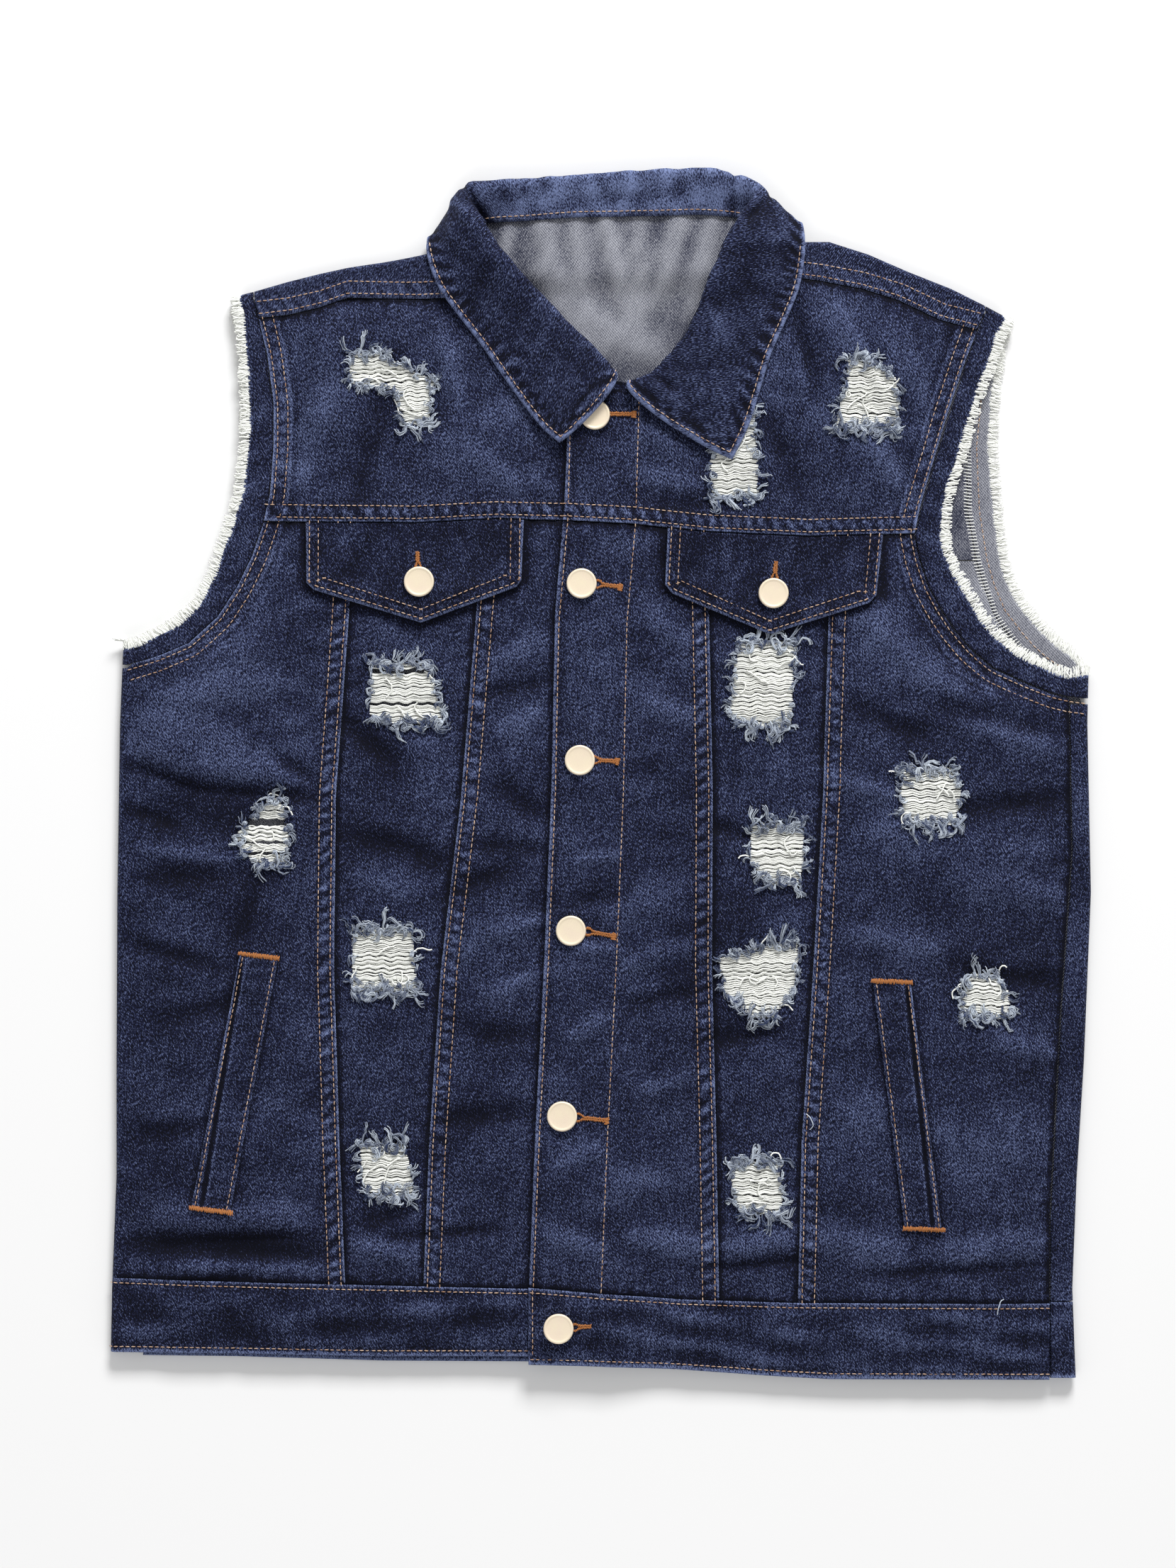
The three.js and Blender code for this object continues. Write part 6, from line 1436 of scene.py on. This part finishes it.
# Buttonholes and bar tacks: close-set orange-brown thread, worked round each hole with an eye at the
# button's side, and across the ends of the pocket slits.
purl_finish = plain_finish("orange_buttonhole_thread", srgb(184, 120, 66), 0.75)
yarns, given, done = geometry_tree("yarns_along_rows", [
    ("Width", "Float"), ("Sides", "Int"), ("Yarn", "Material")])
girth_field = node(yarns, "GeometryNodeInputNamedAttribute", {"Name": "girth"}, data_type="FLOAT")
curves = node(yarns, "GeometryNodeMeshToCurve", {"Mesh": given.outputs["Geometry"]})
thick = node(yarns, "GeometryNodeSetCurveRadius", {"Curve": curves.outputs[0],
                                                   "Radius": girth_field.outputs[0]})
ring = node(yarns, "GeometryNodeCurvePrimitiveCircle", {"Resolution": given.outputs["Sides"],
                                                        "Radius": given.outputs["Width"]})
tubes = node(yarns, "GeometryNodeCurveToMesh", {"Curve": thick.outputs[0], "Profile Curve": ring.outputs[0],
                                                "Fill Caps": True})
made_real(yarns, tubes.outputs[0], given.outputs["Yarn"], done)
chance = np.random.default_rng(11)


def purl(ax, ay, bx, by, width, height_at, pitch=0.55, eye=0.0):
    """Short cross threads along a line, spread round an eye at its start."""
    length = math.hypot(bx - ax, by - ay)
    ux, uy = (bx - ax) / length, (by - ay) / length
    made = []
    for k in range(int(length / pitch)):
        at = (k + 0.5) * pitch
        gap = eye * math.exp(-((at - 2.2) / 2.0) ** 2) if eye else 0.0
        for side in ((-1, 1) if eye else (0,)):
            mid = side * (gap + 0.5) + chance.normal(0, 0.12)
            half = (0.55 if eye else width / 2) * chance.uniform(0.7, 1.4)
            skew = chance.uniform(-0.3, 0.3)
            row = []
            for t, up in ((-1, 0.05), (-0.4, 0.5), (0.4, 0.5), (1, 0.05)):
                off = mid + t * half
                px, py = ax + ux * (at + skew * t) - uy * off, ay + uy * (at + skew * t) + ux * off
                row.append((px, py, height_at(px, py) + up + chance.uniform(0, 0.12)))
            made.append(row)
    return made


def plain_height(side, up):
    return lambda x, y: float(on_front(np.array(x), np.array(y), up, side)[2])


def waistband_height(x, y):
    return float(lay_cloth(np.array(x), np.array(y), WAIST_RISE, WAIST_LAP)[2])


HOLES = [(-1.5, 202, 19, 202), (-4, 106.6, 11, 104.6), (-6, 7.2, 9.5, 6.4), (-9.5, -89.2, 7.5, -92),
         (-15, -194, 3.5, -196)]
HOLE_WIDTH = 2.6
TACK_WIDTH = 2.2
TACK_PITCH = 0.5
tacks = []
for from_x, from_y, to_x, to_y in HOLES:
    tacks += purl(from_x, from_y, to_x, to_y, HOLE_WIDTH, plain_height("right", 0.1), eye=1.6)
    tacks += purl(to_x - 0.6, to_y - 2.2, to_x + 0.1, to_y + 2.2, TACK_WIDTH, plain_height("right", 0.1),
                  TACK_PITCH)
tacks += purl(-17, -312.6, -5, -311.8, HOLE_WIDTH, waistband_height, eye=1.5)
flap_height = {side: plain_height(side, SEAM_GAP + BAND_RISE + 2.1) for side in ("left", "right")}
tacks += purl(-103, 113, -103.5, 125, HOLE_WIDTH, flap_height["left"], eye=1.2)
tacks += purl(97.5, 107, 98.5, 119.5, HOLE_WIDTH, flap_height["right"], eye=1.2)
for side, (ends, tops, bottoms, tilt, _) in WELTS.items():
    on_welt = plain_height(side, 1.9)
    tacks += purl(tops[0] - 1, ends[0] + 0.3, tops[1] + 1, ends[0] + tilt + 0.3, TACK_WIDTH, on_welt,
                  TACK_PITCH)
    tacks += purl(bottoms[0] - 1, ends[1] + 0.2, bottoms[1] + 2, ends[1] + tilt + 0.2, TACK_WIDTH, on_welt,
                  TACK_PITCH)
grow("vest_buttonholes_and_tacks", tacks, yarns, {"Width": 0.00026, "Sides": 4, "Yarn": purl_finish},
     girth=[1.0] * len(tacks))

# Rips: the blue warp has been cut and frayed, and the white weft still runs across in loose waves.
weft_finish = plain_finish("white_weft_yarn", srgb(247, 248, 243), 0.9)
fray_finish = plain_finish("frayed_warp_yarn", srgb(120, 135, 175), 0.9)
tree = fray_finish.node_tree
strand_tint = node(tree, "ShaderNodeAttribute", attribute_name="tint")
uneven_dye = maths(tree, "MULTIPLY", maths(tree, "SUBTRACT", object_noise(tree, 420, 2), 0.5), 0.9)
mixed = maths(tree, "ADD", strand_tint.outputs["Fac"], uneven_dye)
tree.links.new(blend(tree, mixed, srgb(200, 209, 220), srgb(48, 62, 98)),
               tree.nodes["Principled BSDF"].inputs["Base Color"])

# Where no thread is left across a rip: x, y and half the height
OPEN_GAPS = [
    (-186, -28, 2.4), (-184, -39, 1.0), (-186, -45, 0.8), (-118, 57.5, 1.6), (-113, 39, 0.7),
    (-125, -56, 1.0), (135, 268, 1.0), (118, 262, 0.8), (125, -78, 1.2), (104, -136, 1.0),
    (-118, -156, 0.9),
]
frays, fray_tint = {"left": [], "right": []}, {"left": [], "right": []}


def curl(x, y, heading, length, steps=8, wild=0.55):
    """A strand's plan points from a root, bending at random."""
    points, bend_rate = [(x, y)], chance.normal(0, wild)
    for _ in range(steps):
        heading += bend_rate * 0.5 + chance.normal(0, wild * 0.55)
        x, y = x + math.cos(heading) * length / steps, y + math.sin(heading) * length / steps
        points.append((x, y))
    return np.array(points)


def lock(x, y, heading, length, side):
    """A few strands that curl together."""
    plan = curl(x, y, heading, length, 7, 0.95)
    shade, high = chance.uniform(0.1, 0.9), chance.uniform(0.3, 1.4)
    for _ in range(chance.integers(4, 8)):
        away = np.linspace(0.3, chance.uniform(0.6, 2.0), 8)[:, None] * chance.normal(0, 0.6, 2)
        row = plan + away
        rise = 0.25 + high * np.sin(np.linspace(0.1, 2.9, 8)) + chance.uniform(0, 0.6)
        frays[side].append(np.column_stack([row, rise]))
        fray_tint[side].append(shade + chance.normal(0, 0.15))


def weft_layer(rip, side, level, steps):
    """Wavy threads from side to side of a rip, one above the other, on one level."""
    low, high = rip[0, 0], rip[-1, 0]
    at, phase, count = low + 0.4, chance.uniform(0, 6.28), 0
    threads = []
    while at < high - 0.2:
        left, right = float(read(rip, 1, at)) - 1.5, float(read(rip, 2, at)) + 1.5
        x = np.linspace(left, right, max(8, int((right - left) / 1.5)))
        inside = np.sin(np.pi * (x - left) / (right - left)) ** 0.6
        if any(abs(at - y) < half and left < across < right for across, y, half in OPEN_GAPS):
            at += 0.5
            continue
        phase += chance.normal(0, 0.2)
        wave = 0.6 * np.sin(x / 1.35 + phase) + 0.35 * np.sin(x / 3.1 + 0.7 * phase) \
            + 0.12 * np.sin(x / 0.7 + count)
        y = at + (wave + chance.normal(0, 0.2)) * inside
        ends = np.minimum(x - left, right - x)
        up = np.where(ends < 1.3, -1.1, level) + chance.uniform(-0.35, 0.25) \
            + 0.15 * np.sin(x / 1.1 + 3 * phase) * inside
        threads.append(on_front(x, y, up, side))
        at += chance.uniform(0.85, 1.2) * steps[count % len(steps)]
        count += 1
    return threads


for number, rip in enumerate(RIPS):
    side = "left" if rip[0, 1] < 0 else "right"
    low, high = rip[0, 0], rip[-1, 0]
    weft = weft_layer(rip, side, -1.3, (1.3, 1.5)) + weft_layer(rip, side, -0.15, (0.85, 1.5, 0.8, 1.25))
    # A few of the weft threads have broken and curl over the others
    for _ in range(5):
        px, py = chance.uniform(rip[:, 1].mean(), rip[:, 2].mean()), chance.uniform(low + 4, high - 2)
        heading = chance.uniform(-0.4, 0.4) + math.pi * chance.integers(0, 2)
        plan = curl(px, py, heading, chance.uniform(8, 16), 10, 0.5)
        weft.append(on_front(plan[:, 0], plan[:, 1], 0.5 + np.linspace(0, 0.6, len(plan)), side))
    piece = grow(f"vest_rip_weft_{number + 1}", weft, yarns,
                 {"Width": 0.00044, "Sides": 5, "Yarn": weft_finish},
                 girth=[chance.uniform(0.75, 1.15) for _ in weft])
    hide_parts(f"rip_threads_{number + 1}")
    # Tufts of warp along the hole's lower, upper and side edges
    for k in range(len(rip) - 1):
        (y0, l0, r0), (y1, l1, r1) = rip[k], rip[k + 1]
        for x0, x1, out in ((l0, l1, math.pi), (r0, r1, 0.0)):
            reach = math.hypot(x1 - x0, y1 - y0)
            slope = abs(x1 - x0) / max(reach, 1e-6)
            for _ in range(int(reach * (0.35 + 0.7 * slope))):
                t = chance.uniform()
                heading = out + chance.normal(0, 0.5)
                if slope > 0.55:
                    up_side = (x1 < x0) == (out > 1)
                    heading = (-1 if up_side else 1) * math.pi / 2 + chance.normal(0, 0.45)
                lock(x0 + t * (x1 - x0), y0 + t * (y1 - y0), heading, chance.uniform(3, 7), side)
    for y_row, l, r, heading, count in ((low, rip[0, 1], rip[0, 2], -math.pi / 2, 1.25),
                                        (high, rip[-1, 1], rip[-1, 2], math.pi / 2, 1.1)):
        for k in range(int((r - l) * count)):
            px = l - 1 + (r - l + 2) * (k + chance.uniform(0, 1)) / int((r - l) * count)
            length = chance.uniform(6, 13) if chance.uniform() < 0.75 else chance.uniform(3, 6)
            py = y_row - math.sin(heading) * chance.uniform(0.0, 3.0)
            lock(px, py, heading + chance.normal(0, 0.3), length, side)
# Two loose white ends of thread have stayed on the right half
for x, y, heading, length in ((117.6, -201.2, 0.4, 11), (227, -297, -2.6, 10)):
    plan = curl(x, y, heading, length, 7, 0.45)
    frays["right"].append(np.column_stack([plan, 0.7 + 0.5 * np.sin(np.linspace(0, 3, 8))]))
    fray_tint["right"].append(-0.6)
for side in ("left", "right"):
    every = np.concatenate(frays[side])
    laid = list(on_front(every[:, 0], every[:, 1], every[:, 2], side).reshape(-1, 8, 3))
    grow("vest_frayed_warp_" + side, laid, yarns, {"Width": 0.00031, "Sides": 3, "Yarn": fray_finish},
         girth=[np.linspace(1.0, 0.6, 8) * chance.uniform(0.8, 1.25) for _ in laid], tint=fray_tint[side])

# Fringe: the sleeves' raw edges have frayed to a close row of white weft ends.
for key, stations in STUBS.items():
    strands, girths = [], []
    reach_shares = np.linspace(0.4, 1.9, 13)
    edge_points = np.array([[stub_point(station, share, 0.5) for share in reach_shares]
                            for station in stations])
    lengths = [math.hypot(b[1] - a[1], b[2] - a[2]) + (4.5 if "fold" in (a[0], b[0]) else 0)
               for a, b in zip(stations, stations[1:])]
    for k, (first, second) in enumerate(zip(stations, stations[1:])):
        for _ in range(int(lengths[k] * 2.8)):
            t = chance.uniform()
            lean = chance.normal(0, 0.7)
            length = chance.uniform(3.2, 6.4)
            rows = 0
            for station, weight, points in ((first, 1 - t, edge_points[k]), (second, t, edge_points[k + 1])):
                reach = max(math.hypot(station[3] - station[1], station[4] - station[2]), 2)
                shares = 1 + (-1.5 + (1.5 + length) * np.linspace(0, 1, 6)) / reach
                strand = np.stack([np.interp(shares, reach_shares, points[:, n]) for n in range(3)], 1)
                rows = rows + weight * strand
            run = np.linspace(0, 1, 6)[:, None]
            way = rows[-1] - rows[0]
            way /= np.linalg.norm(way) + 1e-9
            sideways = np.cross(way, (0, 0, 1))
            rows = rows + sideways * (lean * run + chance.normal(0, 0.45) * np.sin(run * math.pi * 2)) \
                + np.array([0, 0, 1]) * (chance.uniform(-0.5, 0.9) * np.sin(run * 3))
            rows[:, 2] = np.maximum(rows[:, 2], 0.35)
            strands.append(rows)
            girths.append(np.linspace(1.0, 0.75, 6) * chance.uniform(0.8, 1.2))
    piece = grow("vest_fringe_" + key, strands, yarns, {"Width": 0.00036, "Sides": 4, "Yarn": weft_finish},
                 girth=girths)
    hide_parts("fringe_" + key)

# Overlock: cream loops over the raw edge of the armhole seam, seen inside the right armhole, where the
# wrong side of the back shows.
seam_line = stub_row(STUBS["back_right"], 0.0, 0.0, 12)
step = np.gradient(seam_line, axis=0)
step /= np.linalg.norm(step, axis=1, keepdims=True)
side_way = np.stack([-step[:, 1], step[:, 0], 0 * step[:, 0]], 1)
run = np.concatenate([[0], np.cumsum(np.linalg.norm(np.diff(seam_line, axis=0), axis=1))])
loops = []
for at in np.arange(3, run[-1] - 3, 1.9):
    here = np.array([np.interp(at, run, seam_line[:, n]) for n in range(3)])
    ahead = np.array([np.interp(at, run, step[:, n]) for n in range(3)])
    across = np.array([np.interp(at, run, side_way[:, n]) for n in range(3)])
    loops.append([here + ahead * (0.35 * u) + across * (2.3 * u) + (0, 0, 0.35 + 0.3 * math.cos(1.4 * u))
                  for u in (-1, -0.35, 0.35, 1)])
grow("vest_overlock", loops, yarns, {"Width": 0.00026, "Sides": 4, "Yarn": weft_finish},
     girth=[1.0] * len(loops))
